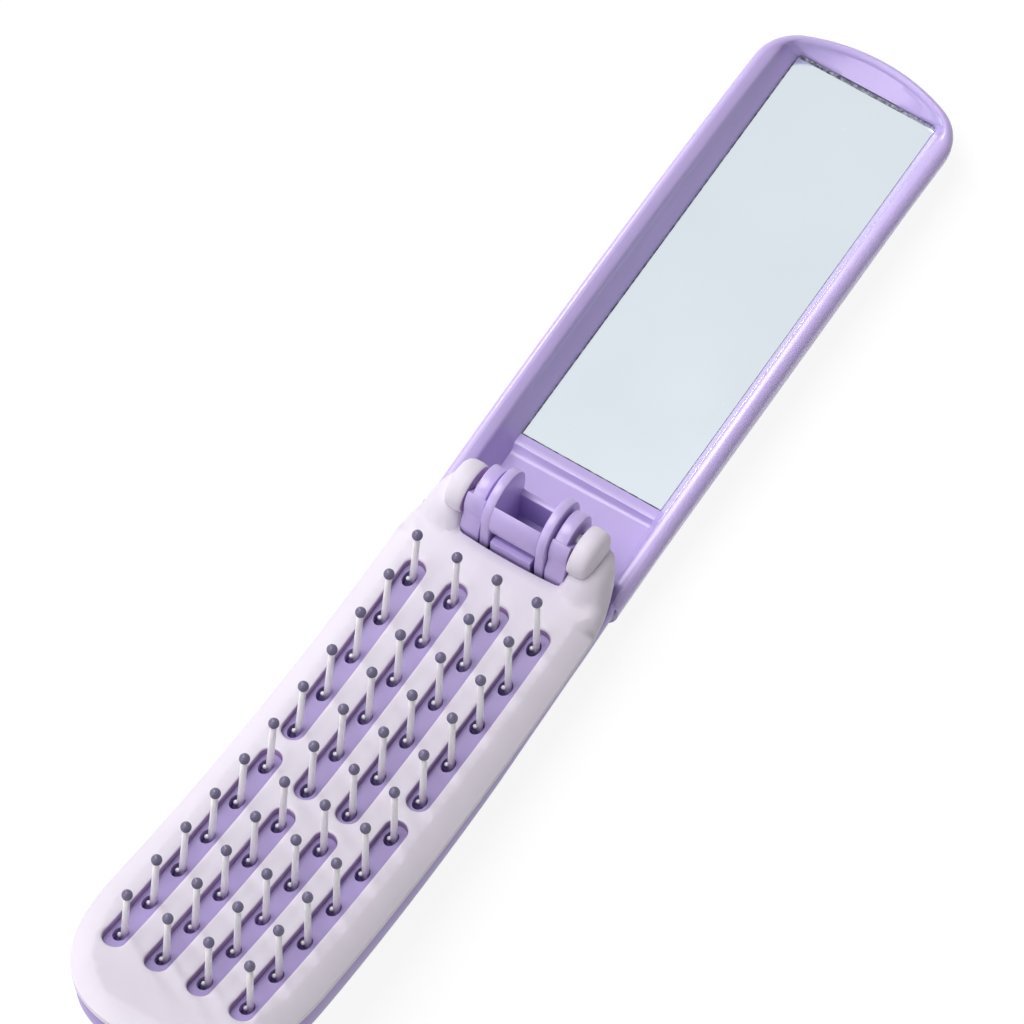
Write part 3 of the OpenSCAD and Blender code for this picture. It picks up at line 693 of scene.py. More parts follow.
def front_plate():
    """The slotted white plate with its ears, as one closed shell."""
    s = head_sizes()
    outline = plate_outline()
    border = Border(outline)
    slots = slot_list()
    edge_round, slot_round = s.plate_round / MM, s.slot_round / MM
    # The outer edge is taken off less between the ears and at the shoulders. No lines follow it, so
    # it comes out as a bevel from the outline to the grid's first points.
    ear_middle, sharp_edge, shoulder_end, middle_end = 12, 0.6, -9, -30

    def top(x, y):
        outwards = abs(x) - ear_middle
        if y < middle_end or (y < shoulder_end and outwards > 0):
            radius = edge_round
        else:
            radius = min(sharp_edge + max(0, outwards) * 0.25, edge_round)
        drop = edge_drop(border.distance(x, y), radius)
        for slot in slots:
            away = slot_distance(slot, x, y)
            if away < slot_round:
                drop += edge_drop(away, slot_round)
        return plate_top(x, y) - drop

    def bottom(x, y, z):
        """The seam, carried on level past the hinge end, and always under the top."""
        return min(seam_z(min(y, -2.95)), z - 0.4)

    # Between the lines lies a grid with every other row half a step aside.
    step, hinge_end, widest = 0.95, 3.4, 19

    def clear(x, y):
        """Whether a grid point keeps off the outer edge and the slots' edges."""
        margin = 2.7 if y < -8.5 else 0.65
        return (abs(x) <= widest and inside(outline, x, y) and border.distance(x, y) >= margin
                and all(slot_distance(slot, x, y) >= 0.62 for slot in slots))

    points, edges = [], []
    add_ring(points, edges, outline)
    for slot in slots:
        for grow in (0, 0.1, slot_round):
            add_ring(points, edges, slot_ring(slot, grow))
    for row in range(int((head_tip() + 4) / step)):
        y = hinge_end - row * step
        across = [(col + 0.5 * (row % 2)) * step for col in range(-20, 21)]
        points.extend((x, y) for x in across if clear(x, y))
    solid = Solid()
    slab(solid, points, edges, top, bottom,
         lambda x, y: inside(outline, x, y) and all(slot_distance(slot, x, y) > -1e-3 for slot in slots),
         lambda x, y: any(slot_distance(slot, x, y) < 0.05 for slot in slots))
    for side in (-1, 1):
        ear(solid, side)
    # Material 1, on the slot walls and the ears' inner faces, is painted shade with violet light from the bed
    # and the hinge.
    return solid.piece("front_plate_shell", [finish("white"), finish("slot")], sharp=44)


def bed_lands():
    """Raised strips of the bristle bed, one in each slot, with an oval hole that lets each bristle tilt."""
    s = head_sizes()
    solid = Solid()
    half = s.slot_width / 2 / MM
    # Half sizes of a hole, its place beside the rod, and the gap between a strip and its slot.
    wide, long, aside, behind, gap = 1.05, 1.45, 0.2, 0.45, 0.06
    turns = [2 * math.pi * i / 28 for i in range(28)]

    def top(x, y):
        return circle_z(y, s.face_radius, s.land_drop / MM)

    def bottom(x, y, z):
        """A hair under the seam, so that a strip stands in the bed."""
        return seam_z(y) - 0.01

    for slot in slot_list():
        points, edges = [], []
        rows = [hub.y for hub in HUBS if slot[2] - half < hub.y < slot[1] + half]
        holes = [(slot[0] - aside, y - behind) for y in rows]
        add_ring(points, edges, slot_ring(slot, -gap))
        for cx, cy in holes:
            add_ring(points, edges, [(cx + wide * math.cos(a), cy + long * math.sin(a)) for a in turns])
        slab(solid, points, edges, top, bottom,
             lambda x, y: slot_distance(slot, x, y) < -gap
             and all(math.hypot((x - cx) / wide, (y - cy) / long) > 1 for cx, cy in holes),
             lambda x, y: slot_distance(slot, x, y) < -0.1)
    # Material 1, on the holes' walls, is a paler copy of the bed's plastic: painted light in their shade.
    return solid.piece("bristle_bed_lands", [finish("bed"), finish("hole")], sharp=40)


def ear(solid, side):
    """Barrel-shaped ear about the fold axis, drawn out to the tip, with a flat inner face and a domed end."""
    stations = [(EAR_FACE, 0.02), (EAR_FACE, 2.95), (9.42, 3.25), (9.6, 3.4), (10.3, 3.5), (11.0, 3.5),
                (11.7, 3.42), (12.3, 3.12), (12.7, 2.6), (12.95, 1.9), (13.1, 1.0), (13.15, 0.02)]
    steps = 64
    turns = [2 * math.pi * i / steps for i in range(steps)]
    rings = []
    for x, r in stations:
        reach = 0.8 * min(1, r / 3)
        rings.append([(side * x, r * math.cos(a) - reach * (1 - math.cos(a)), r * math.sin(a))
                      for a in turns])
    first = len(solid.faces)
    solid.loft(rings)
    # The flat inner end, between the first three rings, gets the slot walls' colour: painted shade with the
    # lilac light thrown from the hinge beside it.
    solid.marks[first:first + 2 * steps] = [1] * (2 * steps)


def back_shell():
    """Violet back of the head: it stands just inside the plate's edge and rounds into the curved back."""
    s = head_sizes()
    low_corner, high_corner = node_box("head_back_shell")
    low, near = low_corner.z, high_corner.y
    tip, low_y = -head_tip(), -s.face_low / MM
    # The lengthwise curve of the back is cut flat where it is lowest, so that the brush lies still.
    cut = 0.4
    rise = face_z(tip) - s.tip_height / MM - (low - cut)
    back_r = ((tip - low_y) ** 2 + rise ** 2) / (2 * rise)
    step_in, seam_bevel, seam_drop, wall, round_steps = 0.45, 0.12, 0.15, 1.6, 10
    right = side_points(near, tip + s.tip / MM, 40)
    outline = right + tip_arc() + [(-x, y) for x, y in reversed(right)]
    # The outline runs clockwise, so its inside is on the right.
    unit = inset(outline, -1)

    def bottom(y):
        """Height of the back's underside along the head."""
        return max(low, low - cut + back_r - math.sqrt(back_r ** 2 - (y - low_y) ** 2))

    def rounding(y):
        """The lower rounding shrinks from the hinge to the tip."""
        t = max(0, min(1, (-y - 15) / (-tip - 25)))
        return s.back_round / MM * (1 - t) + s.back_round_tip / MM * t

    def ring(depth, height):
        """Points at a depth inside the outline, each at its own height."""
        result = []
        for (x, y), (ux, uy) in zip(outline, unit):
            d = depth(y)
            if y == near:
                result.append((x - math.copysign(d, x), near - 0.1, height(near)))
            else:
                px, py = x + (ux - x) * d, y + (uy - y) * d
                result.append((px, py, height(py)))
        return result

    rings = [ring(lambda y: step_in + seam_bevel, seam_z),
             ring(lambda y: step_in, lambda y: seam_z(y) - seam_drop)]
    for k in range(round_steps + 1):
        a = math.radians(90 / round_steps * k)
        rings.append(ring(
            lambda y: step_in + rounding(y) * (1 - math.cos(a)),
            lambda y: bottom(y) + min(rounding(y), seam_z(y) - bottom(y) - 0.3) * (1 - math.sin(a)),
        ))
    inner = [ring(lambda y: wall + 0.3, seam_z),
             ring(lambda y: wall + 0.4, lambda y: seam_z(y) * 0.6 + bottom(y) * 0.4),
             ring(lambda y: wall + rounding(y) * 0.6, lambda y: bottom(y) + wall)]
    solid = Solid()
    solid.loft(list(reversed(inner)) + rings, capped=False)
    strip_cap(solid, 0, len(outline))
    strip_cap(solid, (len(rings) + len(inner) - 1) * len(outline), len(outline))
    return solid.piece("back_shell", [finish("violet")], sharp=50)


def strip_cap(solid, start, count):
    """Closes a ring that is the same on both sides with strips across it."""
    for i in range(count // 2 - 1):
        a, b = start + i, start + i + 1
        d, c = start + count - 1 - i, start + count - 2 - i
        solid.close((a, b, c, d) if b != c else (a, b, d))
    if count % 2:
        i = count // 2
        solid.close((start + i - 1, start + i, start + i + 1))


# ---------------------------------------------------------------- handle


def handle_sizes():
    """The handle's sizes, in metres."""
    return bpy.context.scene.brush_handle


def rim_z(y):
    """Height of the rim's crest along the handle."""
    s = handle_sizes()
    return -s.rim_drop / MM - (y - s.rim_middle / MM) ** 2 / (2 * s.rim_radius / MM)


# Fold axis to the handle's hinge end and to the edge of the mirror's pit, in millimetres.
HANDLE_START = -2.7
PIT_START = 17.2


def handle_loop(half, reach, corner, end_radius):
    """Points round the handle, from the right end at the hinge to the left end."""
    end_y = reach - end_radius
    gap = end_radius - corner
    corner_x = half - corner
    corner_y = end_y + math.sqrt(gap ** 2 - corner_x ** 2)
    turn = math.degrees(math.atan2(corner_y - end_y, corner_x))
    # Places along the side, closer together at the floor's step and on both sides of the pit's edge.
    stops = [HANDLE_START, 0.5, 3, 5.5, 8, 10, 12, 13.2, 13.8, 14.3, 14.8, 15.3, 15.8, 16.4, 17.18, 17.22]
    last, far_start, count = stops[-1], 91.5, 30
    stops += [last + (far_start - last) * i / count for i in range(1, count)]
    right = [(half, y) for y in stops]
    bend = arc(corner_x, corner_y, corner, 0, turn, 12)
    top = arc(0, end_y, end_radius, turn, 180 - turn, 24)[1:-1]
    left_bend = [(-x, y) for x, y in reversed(bend)]
    left = [(-x, y) for x, y in reversed(right)]
    return right + bend + top + left_bend + left


def floor_z(x, y):
    """Height of the tray's floor: low at the hinge, lowest on the left, then a soft step to the mirror."""
    s = handle_sizes()
    slope, middle_rise, over_mirror = 0.035, 0.3, 0.02
    low = -s.floor_drop / MM + slope * x + middle_rise
    high = node_box("mirror_glass")[1].z + over_mirror
    start, end = 14.4, 15.5
    t = max(0, min(1, (y - start) / (end - start)))
    return low + (high - low) * t * t * (3 - 2 * t)


def handle_shell():
    """Lilac tray with its rounded rim, sloping inner walls and floor, and the two hinge rings."""
    s = handle_sizes()
    low, high = node_box("handle_shell")
    half, reach, base = s.width / 2 / MM, high.y, low.z
    corner, end_radius, end_depth = s.corner / MM, s.end_radius / MM, s.end_depth / MM
    rim, edge, draft = s.rim / MM, s.rim_round / MM, s.draft / MM
    mirror_top = node_box("mirror_glass")[1].z
    pit = node_box("mirror_pad")[0].z
    # At the far end the crest lies nearer to the outer edge, and the wall's foot is nearly straight.
    far, end_across, foot_radius = 0.7, 0.6, 1200
    sharpest, foot_corner, round_steps = 1.3, 1.0, 10

    def loop(depth, end_in, bend, curve, height):
        """A line round the tray, so deep inside its sides and its end, at its own height."""
        flat = handle_loop(half - depth, reach - end_in, bend, curve)
        return [(x, y, height(x, y)) for x, y in flat]

    def low_round(y):
        """Lower outer rounding, limited by the wall's height."""
        return min(s.base_round / MM, rim_z(y) - edge - base)

    def inner_round(y):
        """How far the rim turns down inside its crest."""
        return 0.36 * (rim_z(y) - mirror_top)

    outer = handle_loop(half, reach, corner, end_radius)
    unit = inset(outer, 1)
    unit[0], unit[-1] = (half - 1, HANDLE_START), (1 - half, HANDLE_START)
    rings = []
    for k in range(round_steps + 1):
        a = math.radians(90 / round_steps * k)
        ring = []
        for (x, y), (ux, uy) in zip(outer, unit):
            depth, lift = low_round(y) * (1 - math.sin(a)), low_round(y) * (1 - math.cos(a))
            ring.append((x + (ux - x) * depth, y + (uy - y) * depth, base + lift))
        rings.append(ring)
    edge_steps = 6
    for k in range(edge_steps + 1):
        a = math.radians(90 * k / edge_steps)
        depth, lift = edge * (1 - math.cos(a)), edge * (1 - math.sin(a))
        rings.append(loop(depth, far * depth, max(corner - depth, 1.2), end_radius - far * depth,
                          lambda x, y: rim_z(y) - lift))
    # Inside its crest the rim is a flat bevel that turns down: shares of its width and of its drop.
    bevel = [(0.0, 0.0), (0.1, 0.015), (0.4, 0.13), (0.68, 0.25), (0.8, 0.34), (0.88, 0.46), (0.94, 0.62),
             (0.98, 0.8), (1.0, 1.0)]
    for across, drop in bevel:
        end = far * edge + end_across * across
        turn = across ** 2.2
        rings.append(loop(edge + (rim - edge) * across, end, (corner - edge) * (1 - turn) + sharpest * turn,
                          end_radius - end, lambda x, y: rim_z(y) - inner_round(y) * drop))
    # Then the wall slopes to the floor, and the floor's edge drops into the mirror's pit.
    for share in (0.25, 0.5, 0.75, 1.0):
        end = far * edge + end_across + (end_depth - far * edge - end_across) * share
        curve = 1 / ((1 - share) / (end_radius - end) + share / foot_radius)

        def height(x, y):
            top = rim_z(y) - inner_round(y)
            return top + (floor_z(x, y) - top) * share

        rings.append(loop(rim + draft * share, end, sharpest - 0.3 * share, curve, height))
    rings.append(loop(rim + draft, end, foot_corner, foot_radius,
                      lambda x, y: pit if y > PIT_START else floor_z(x, y)))
    count = len(rings[0])
    solid = Solid()
    solid.loft(rings, closed=False, capped=False)
    strip_cap(solid, 0, count)
    strip_cap(solid, (len(rings) - 1) * count, count)
    right = [r * count for r in range(len(rings))]
    left = [r * count + count - 1 for r in reversed(range(len(rings)))]
    solid.close(right + left)
    for side in (-1, 1):
        hinge_ring(solid, side)
    return solid.piece("handle_tray", [finish("lilac")], sharp=40)


def sector(radius, start, end, steps=20):
    """Points of an arc about the fold axis in y and z."""
    return arc(0, 0, radius, start, end, steps)


def hinge_ring(solid, side):
    """Ring between drum and ear: a wide front part, a narrower upper part and a web to the floor."""
    radius = handle_sizes().ring / MM
    floor = -handle_sizes().floor_drop / MM - 0.3
    front = sector(radius, 134, 180, 10)
    front += [(-radius, -1.2), (-5.3, -3.2), (-5.45, -6.0), (-4.8, -6.4)]
    front += [(-0.6, floor), (2.4, floor), (2.4, -1.0), (-0.2, 0.0)]
    upper = sector(radius - 0.12, -2, 138, 26)
    upper += [(-2.2, -1.5), (0.5, -4.0), (0.5, floor), (radius - 0.12, floor)]
    for profile, inner, outer, bevel in [(front, 5.85, 9.15, 0.22), (upper, 6.15, 8.35, 0.25)]:
        solid.loft(prism_rings(profile, side * inner, side * outer, bevel))


def hinge_drum():
    """Drum with two discs, a pocket between them and a foot on the tray's floor."""
    radius = handle_sizes().drum / MM
    floor = -handle_sizes().floor_drop / MM - 0.02
    foot_back, foot_top = radius - 0.3, -9.5
    disc_inner, disc_outer, disc_edge = 4.05, 5.65, 0.28
    wall, wall_edge = 4.1, 0.02
    disc = sector(radius, 0, 180, 32)
    disc += [(-radius, -1.2), (-radius - 0.2, -3.2), (-radius - 0.25, -6.0), (-radius + 0.4, -6.4)]
    disc += [(-1.6, -8), (-1.6, floor)]
    disc += [(foot_back, floor), (foot_back + 0.05, -3.2), (radius - 0.02, -1.4)]
    front = sector(radius - 0.06, 133, 215, 18)
    front += [(-1.6, -7), (-1.6, foot_top), (-0.4, foot_top), (-0.4, -4), (-2.5, 0.4)]
    back = [(foot_back - 1.15, -3.2), (foot_back - 0.7, -3.05), (foot_back - 0.15, -3.2), (foot_back, -3.45),
            (foot_back, foot_top), (foot_back - 1.3, foot_top), (foot_back - 1.3, -3.6)]
    foot = [(-3, foot_top), (-3, floor), (foot_back, floor), (foot_back, foot_top + 0.1)]
    solid = Solid()
    for side in (-1, 1):
        solid.loft(prism_rings(disc, side * disc_inner, side * disc_outer, disc_edge))
    for profile in (front, back, foot):
        solid.loft(prism_rings(profile, -wall, wall, wall_edge))
    return solid.piece("hinge_drum_body", [finish("lilac")], sharp=40)


def mirror_piece():
    """Mirror: a silvered face, a ground edge round it and a plain back."""
    low, high = node_box("mirror_glass")
    solid = Solid()

    def ring(left, near, right, far, z):
        return [(low.x + left, low.y + near, z), (high.x - right, low.y + near, z),
                (high.x - right, high.y - far, z), (low.x + left, high.y - far, z)]

    # The bare glass edge round the silvering is widest at the far end and narrowest at the right.
    bottom = ring(0, 0, 0, 0, low.z)
    face = ring(0.2, 0.1, 0.04, 0.7, high.z)
    solid.loft([bottom, ring(0, 0, 0, 0, high.z - 0.06), face], capped=False, mark=1)
    solid.add(face, [(0, 1, 2, 3)], 0)
    solid.add(bottom, [(3, 2, 1, 0)], 1)
    return solid.piece("mirror_plate", [finish("mirror"), finish("edge")], sharp=3)


# ---------------------------------------------------------------- bristles


def start_tree(name, sizes):
    """A node tree with root points and named sizes as its inputs, and one geometry output."""
    tree = bpy.data.node_groups.new(name, "GeometryNodeTree")
    tree.interface.new_socket(name="Roots", in_out="INPUT", socket_type="NodeSocketGeometry")
    for label, value in sizes.items():
        socket = tree.interface.new_socket(name=label, in_out="INPUT", socket_type="NodeSocketFloat")
        socket.default_value = value * MM
    tree.interface.new_socket(name="Bristles", in_out="OUTPUT", socket_type="NodeSocketGeometry")
    return tree, add_node(tree, "NodeGroupInput").outputs


def on_roots(tree, given, shape):
    """Puts the shape on every root point, turned by the point's lean, as plain geometry."""
    lean = add_node(tree, "GeometryNodeInputNamedAttribute", data_type="FLOAT_VECTOR",
                    inputs={"Name": "lean"})
    placed = add_node(tree, "GeometryNodeInstanceOnPoints",
                      [(given["Roots"], "Points"), (shape, "Instance"),
                       (lean.outputs["Attribute"], "Rotation")])
    real = add_node(tree, "GeometryNodeRealizeInstances", [(placed.outputs["Instances"], "Geometry")])
    return real.outputs["Geometry"]


def end_tree(tree, geometry):
    """Smooths the shape and gives it out."""
    smooth = add_node(tree, "GeometryNodeSetShadeSmooth", [(geometry, "Geometry")])
    add_node(tree, "NodeGroupOutput", [(smooth.outputs["Geometry"], "Bristles")])


# Place of the pale ball beside a bristle's root, from the rod's middle, in millimetres. The ball is a painted
# highlight: it stands in for the light on the shaded rod in its pocket.
ROD_HIGHLIGHT_PLACE = (-0.6, -0.38, 1.95)


def pin_tree():
    """Geometry Nodes: on every point a tapering pin with a pale ball at its root, a painted highlight on the
    rod, and one rod through all.
    """
    tree, given = start_tree("bristle_pins", {
        "Length": 14.8, "Root radius": 0.6, "Neck radius": 0.5, "Hub radius": 0.5,
        "Rod radius": 0.8, "Rod length": 28,
    })
    cone = add_node(tree, "GeometryNodeMeshCone",
                    [(given["Length"], "Depth"), (given["Root radius"], "Radius Bottom"),
                     (given["Neck radius"], "Radius Top")], inputs={"Vertices": 16, "Side Segments": 4})
    ball = add_node(tree, "GeometryNodeMeshUVSphere", [(given["Hub radius"], "Radius")],
                    inputs={"Segments": 14, "Rings": 8})
    beside = add_node(tree, "GeometryNodeTransform", [(ball.outputs["Mesh"], "Geometry")],
                      inputs={"Translation": [part * MM for part in ROD_HIGHLIGHT_PLACE]})
    pin = add_node(tree, "GeometryNodeJoinGeometry",
                   [(cone.outputs["Mesh"], "Geometry"), (beside.outputs["Geometry"], "Geometry")])
    white = add_node(tree, "GeometryNodeSetMaterial", [(pin.outputs["Geometry"], "Geometry")],
                     inputs={"Material": finish("nylon")})
    pins = on_roots(tree, given, white.outputs["Geometry"])
    rod = add_node(tree, "GeometryNodeMeshCylinder",
                   [(given["Rod radius"], "Radius"), (given["Rod length"], "Depth")], inputs={"Vertices": 24})
    turned = add_node(tree, "GeometryNodeTransform", [(rod.outputs["Mesh"], "Geometry")],
                      inputs={"Rotation": (0, math.pi / 2, 0)})
    # The rod's middle is the mean of the root points.
    middle = add_node(tree, "GeometryNodeAttributeStatistic", [(given["Roots"], "Geometry")],
                      data_type="FLOAT_VECTOR")
    tree.links.new(add_node(tree, "GeometryNodeInputPosition").outputs["Position"],
                   next(s for s in middle.inputs if s.name == "Attribute" and s.type == "VECTOR"))
    centre = next(s for s in middle.outputs if s.name == "Mean" and s.type == "VECTOR")
    put = add_node(tree, "GeometryNodeTransform",
                   [(turned.outputs["Geometry"], "Geometry"), (centre, "Translation")])
    # Painted shade: the rod is the pins' white plastic, coloured violet for the shade of its pocket.
    shaded = add_node(tree, "GeometryNodeSetMaterial", [(put.outputs["Geometry"], "Geometry")],
                      inputs={"Material": finish("rod")})
    row = add_node(tree, "GeometryNodeJoinGeometry",
                   [(shaded.outputs["Geometry"], "Geometry"), (pins, "Geometry")])
    end_tree(tree, row.outputs["Geometry"])
    return tree


def bead_tree():
    """Geometry Nodes: a slightly tall bead over every point."""
    tree, given = start_tree("bristle_beads", {"Length": 14.8, "Bead radius": 0.85})
    bead = add_node(tree, "GeometryNodeMeshUVSphere", [(given["Bead radius"], "Radius")],
                    inputs={"Segments": 20, "Rings": 14})
    at_tip = add_node(tree, "ShaderNodeCombineXYZ", [(given["Length"], "Z")])
    raised = add_node(tree, "GeometryNodeTransform",
                      [(bead.outputs["Mesh"], "Geometry"), (at_tip.outputs["Vector"], "Translation")],
                      inputs={"Scale": (1, 1, 1.12)})
    grey = add_node(tree, "GeometryNodeSetMaterial", [(raised.outputs["Geometry"], "Geometry")],
                    inputs={"Material": finish("bead")})
    end_tree(tree, on_roots(tree, given, grey.outputs["Geometry"]))
    return tree


def bristle_row(name, number, tree):
    """One row of four bristles, or of their beads, made by the tree and turned into a plain mesh."""
    s = bpy.context.scene.brush_bristles
    hub = HUBS[number]
    mesh = bpy.data.meshes.new("row_points")
    columns = [-1.5, -0.5, 0.5, 1.5]
    mesh.from_pydata([place((c * s.pitch / MM, hub.y, hub.z)) for c in columns], [], [])
    leans = mesh.attributes.new("lean", "FLOAT_VECTOR", "POINT")
    # The first five rows lean a little more from row to row.
    lean = s.lean + (math.radians(0.4) * (number - 1.5) if number < 5 else math.radians(0.5))
    for item, c in zip(leans.data, columns):
        splay = s.splay_outer if abs(c) > 1 else s.splay_inner
        item.vector = (-lean, -math.copysign(splay, c), 0)
    points = put_in_scene("row_points", mesh)
    modifier = points.modifiers.new("bristles", "NODES")
    modifier.node_group = tree
    sizes = {
        "Length": s.reach - (s.last_less if number == len(HUBS) - 1 else 0), "Hub radius": s.hub / 2,
        "Root radius": s.root / 2, "Neck radius": s.neck / 2, "Bead radius": s.bead / 2,
        "Rod radius": s.rod / 2, "Rod length": s.rod_length,
    }
    for item in tree.interface.items_tree:
        if item.in_out == "INPUT" and item.name in sizes:
            modifier[item.identifier] = sizes[item.name]
    bpy.context.view_layer.update()
    shaped = points.evaluated_get(bpy.context.evaluated_depsgraph_get())
    row = put_in_scene(f"{name}_{number + 1:02d}", bpy.data.meshes.new_from_object(shaped))
    bpy.data.objects.remove(points)
    return row


# ---------------------------------------------------------------- stage


def view_axes():
    """Right, up and back vectors of the camera."""
    azimuth, elevation = math.radians(32.68), math.radians(61.74)
    right = Vector((math.cos(azimuth), math.sin(azimuth), 0))
    level = math.cos(elevation)
    back = Vector((math.sin(azimuth) * level, -math.cos(azimuth) * level, math.sin(elevation)))
    return right, back.cross(right), back


def make_camera():
    """Long lens above the head's right side, aimed a little beside the first row's rod."""
    distance, aim_right, aim_up = 1.35, 5.68 * MM, 16.2 * MM
    right, up, back = view_axes()
    hub = place(HUBS[0])
    data = bpy.data.cameras.new("brush_camera")
    data.sensor_width = 36
    data.lens = 316.4
    data.clip_start, data.clip_end = 0.05, 20
    camera = put_in_scene("brush_camera", data)
    camera.location = hub + back * distance
    target = hub + right * aim_right + up * aim_up
    back = (camera.location - target).normalized()
    right = (right - back * right.dot(back)).normalized()
    camera.rotation_euler = Matrix((right, back.cross(right), back)).transposed().to_euler()
    bpy.context.scene.camera = camera


def soft_box(name, spot, size, power):
    """A rectangular soft light, in metres and watts, aimed at the frame's origin."""
    data = bpy.data.lights.new(name, "AREA")
    data.shape = "RECTANGLE"
    data.size, data.size_y = size
    data.energy = power
    lamp = put_in_scene(name, data)
    lamp.location = spot
    lamp.rotation_euler = (-Vector(spot)).to_track_quat("-Z", "Y").to_euler()


def seen_or_mirrored(tree):
    """1 for what the camera or a reflection sees, and 0 for the light that falls on the brush."""
    path = add_node(tree, "ShaderNodeLightPath").outputs
    seen = add_node(tree, "ShaderNodeMath", [(path["Is Camera Ray"], 0), (path["Is Glossy Ray"], 1)],
                    operation="MAXIMUM")
    return seen.outputs["Value"]


def make_floor():
    """Pale floor that keeps the brush's shadow and reads as white."""
    half, below, glow_share = 3, 0.0002, 0.86
    mesh = bpy.data.meshes.new("studio_floor")
    corners = [(-half, -half, 0), (half, -half, 0), (half, half, 0), (-half, half, 0)]
    mesh.from_pydata(corners, [], [(0, 1, 2, 3)])
    floor = put_in_scene("studio_floor", mesh)
    floor.location.z = -below
    material = bpy.data.materials.new("white_floor")
    material.use_nodes = True
    tree = material.node_tree
    tree.nodes.clear()
    paper = add_node(tree, "ShaderNodeBsdfDiffuse", inputs={"Color": (0.9, 0.9, 0.9, 1)})
    glow = add_node(tree, "ShaderNodeEmission", inputs={"Color": (1, 1, 1, 1), "Strength": 1.04})
    share = add_node(tree, "ShaderNodeMath", [(seen_or_mirrored(tree), 0)], operation="MULTIPLY",
                     inputs={1: glow_share})
    mixed = add_node(tree, "ShaderNodeMixShader",
                     [(share.outputs[0], 0), (paper.outputs[0], 1), (glow.outputs[0], 2)])
    add_node(tree, "ShaderNodeOutputMaterial", [(mixed.outputs[0], "Surface")])
    mesh.materials.append(material)
    floor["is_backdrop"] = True


def make_world():
    """Even pale surroundings: white where the camera or a reflection sees them, dim as light."""
    world = bpy.data.worlds.new("studio")
    bpy.context.scene.world = world
    world.use_nodes = True
    tree = world.node_tree
    tree.nodes.clear()
    strength = add_node(tree, "ShaderNodeMapRange", [(seen_or_mirrored(tree), "Value")],
                        inputs={"To Min": 0.21, "To Max": 1.0})
    sky = add_node(tree, "ShaderNodeBackground", [(strength.outputs["Result"], "Strength")],
                   inputs={"Color": (1, 1, 1, 1)})
    add_node(tree, "ShaderNodeOutputWorld", [(sky.outputs[0], "Surface")])


# ---------------------------------------------------------------- operators


class BRUSH_OT_head(bpy.types.Operator):
    """Make the head's front plate and back shell"""
    bl_idname = "brush.head"
    bl_label = "Head"

    def execute(self, context):
        plate = front_plate()
        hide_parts("front_plate")
        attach(plate, "head")
        shell = back_shell()
        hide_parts("head_back_shell")
        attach(shell, "head")
        lands = bed_lands()
        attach(lands, "head")
        return {"FINISHED"}


class BRUSH_OT_bristles(bpy.types.Operator):
    """Make the rows of bristles"""
    bl_idname = "brush.bristles"
    bl_label = "Bristles"

    def execute(self, context):
        parts = [("bristle_pins", pin_tree(), "bristle_plastic", "bristle_row"),
                 ("bristle_beads", bead_tree(), "bead_plastic", "bristle_tips")]
        for name, tree, slot, node in parts:
            for number in range(len(HUBS)):
                row = bristle_row(name, number, tree)
                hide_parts(f"{node}_{number + 1:02d}")
                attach(row, f"row_{number + 1:02d}")
        return {"FINISHED"}


class BRUSH_OT_handle(bpy.types.Operator):
    """Make the tray handle with its hinge rings and drum"""
    bl_idname = "brush.handle"
    bl_label = "Handle"

    def execute(self, context):
        tray = handle_shell()
        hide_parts("handle_shell")
        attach(tray, "handle")
        drum = hinge_drum()
        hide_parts("hinge_drum")
        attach(drum, "handle")
        return {"FINISHED"}


class BRUSH_OT_mirror(bpy.types.Operator):
    """Make the mirror"""
    bl_idname = "brush.mirror"
    bl_label = "Mirror"

    def execute(self, context):
        mirror = mirror_piece()
        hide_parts("mirror_glass")
        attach(mirror, "handle")
        return {"FINISHED"}


class BRUSH_OT_finishes(bpy.types.Operator):
    """Give the carried-over pieces their materials"""
    bl_idname = "brush.finishes"
    bl_label = "Finishes"

    def execute(self, context):
        looks = {"bristle_bed": "bed", "slide_plate": "lilac", "slide_spring": "steel",
                 "hinge_pin_left": "steel", "hinge_pin_right": "steel", "mirror_pad": "foam",
                 "mirror_glass": "mirror", "front_plate": "white",
                 "head_back_shell": "violet", "handle_shell": "lilac", "hinge_drum": "lilac"}
        for name, node in frame["nodes"].items():
            look = looks.get(name) or ("bead" if name.startswith("bristle_tips") else "nylon")
            node.data.materials.clear()
            node.data.materials.append(finish(look))
        return {"FINISHED"}


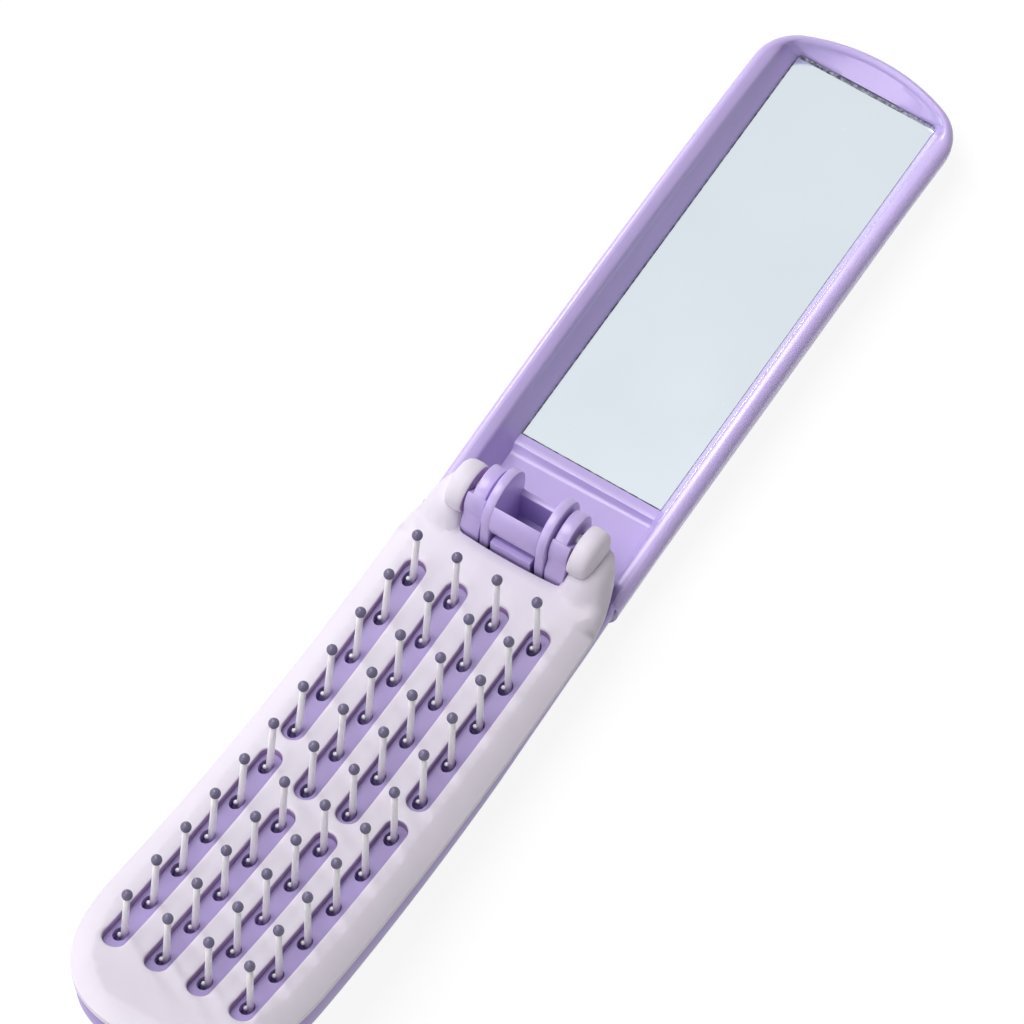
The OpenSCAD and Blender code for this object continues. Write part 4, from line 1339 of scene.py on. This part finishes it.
class BRUSH_OT_stage(bpy.types.Operator):
    """Make the camera, lights, floor and surroundings"""
    bl_idname = "brush.stage"
    bl_label = "Stage"

    def execute(self, context):
        context.scene.view_settings.view_transform = "Standard"
        make_camera()
        make_floor()
        make_world()
        soft_box("key", (-0.5, -0.07, 1.32), (0.9, 0.9), 14.7)
        soft_box("front", (-0.5, -1.0, 0.65), (0.8, 0.8), 4.8)
        soft_box("edge", (-1.2, 0.63, 0.6), (0.2, 0.5), 5)
        return {"FINISHED"}


class BRUSH_PT_sidebar(bpy.types.Panel):
    """Lists the brush's operators and sizes"""
    bl_label = "Hairbrush"
    bl_space_type = "VIEW_3D"
    bl_region_type = "UI"
    bl_category = "Hairbrush"

    def draw(self, context):
        for operator in OPERATORS:
            self.layout.operator(operator.bl_idname)
        for name in SETTINGS:
            group = getattr(context.scene, name)
            box = self.layout.box()
            for item in group.bl_rna.properties:
                if item.identifier not in {"rna_type", "name"}:
                    box.prop(group, item.identifier)


SETTINGS = {
    "brush_head": HeadSizes, "brush_handle": HandleSizes,
    "brush_bristles": BristleSizes, "brush_finishes": Finishes,
}
OPERATORS = [
    BRUSH_OT_head, BRUSH_OT_bristles, BRUSH_OT_handle, BRUSH_OT_mirror, BRUSH_OT_finishes, BRUSH_OT_stage,
]
CLASSES = [*SETTINGS.values(), *OPERATORS, BRUSH_PT_sidebar]


def register():
    for item in CLASSES:
        bpy.utils.register_class(item)
    for name, group in SETTINGS.items():
        setattr(bpy.types.Scene, name, bpy.props.PointerProperty(type=group))


def unregister():
    for name in SETTINGS:
        delattr(bpy.types.Scene, name)
    for item in reversed(CLASSES):
        bpy.utils.unregister_class(item)


def main():
    register()
    bpy.ops.brush.stage()
    bpy.ops.brush.head()
    bpy.ops.brush.bristles()
    bpy.ops.brush.handle()
    bpy.ops.brush.mirror()
    bpy.ops.brush.finishes()
    as_lists = lambda box: [[float(c) for c in corner] for corner in box]
    {"cad": as_lists(CAD_BOX), "visual": as_lists(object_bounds())}


if __name__ == "__main__":
    main()
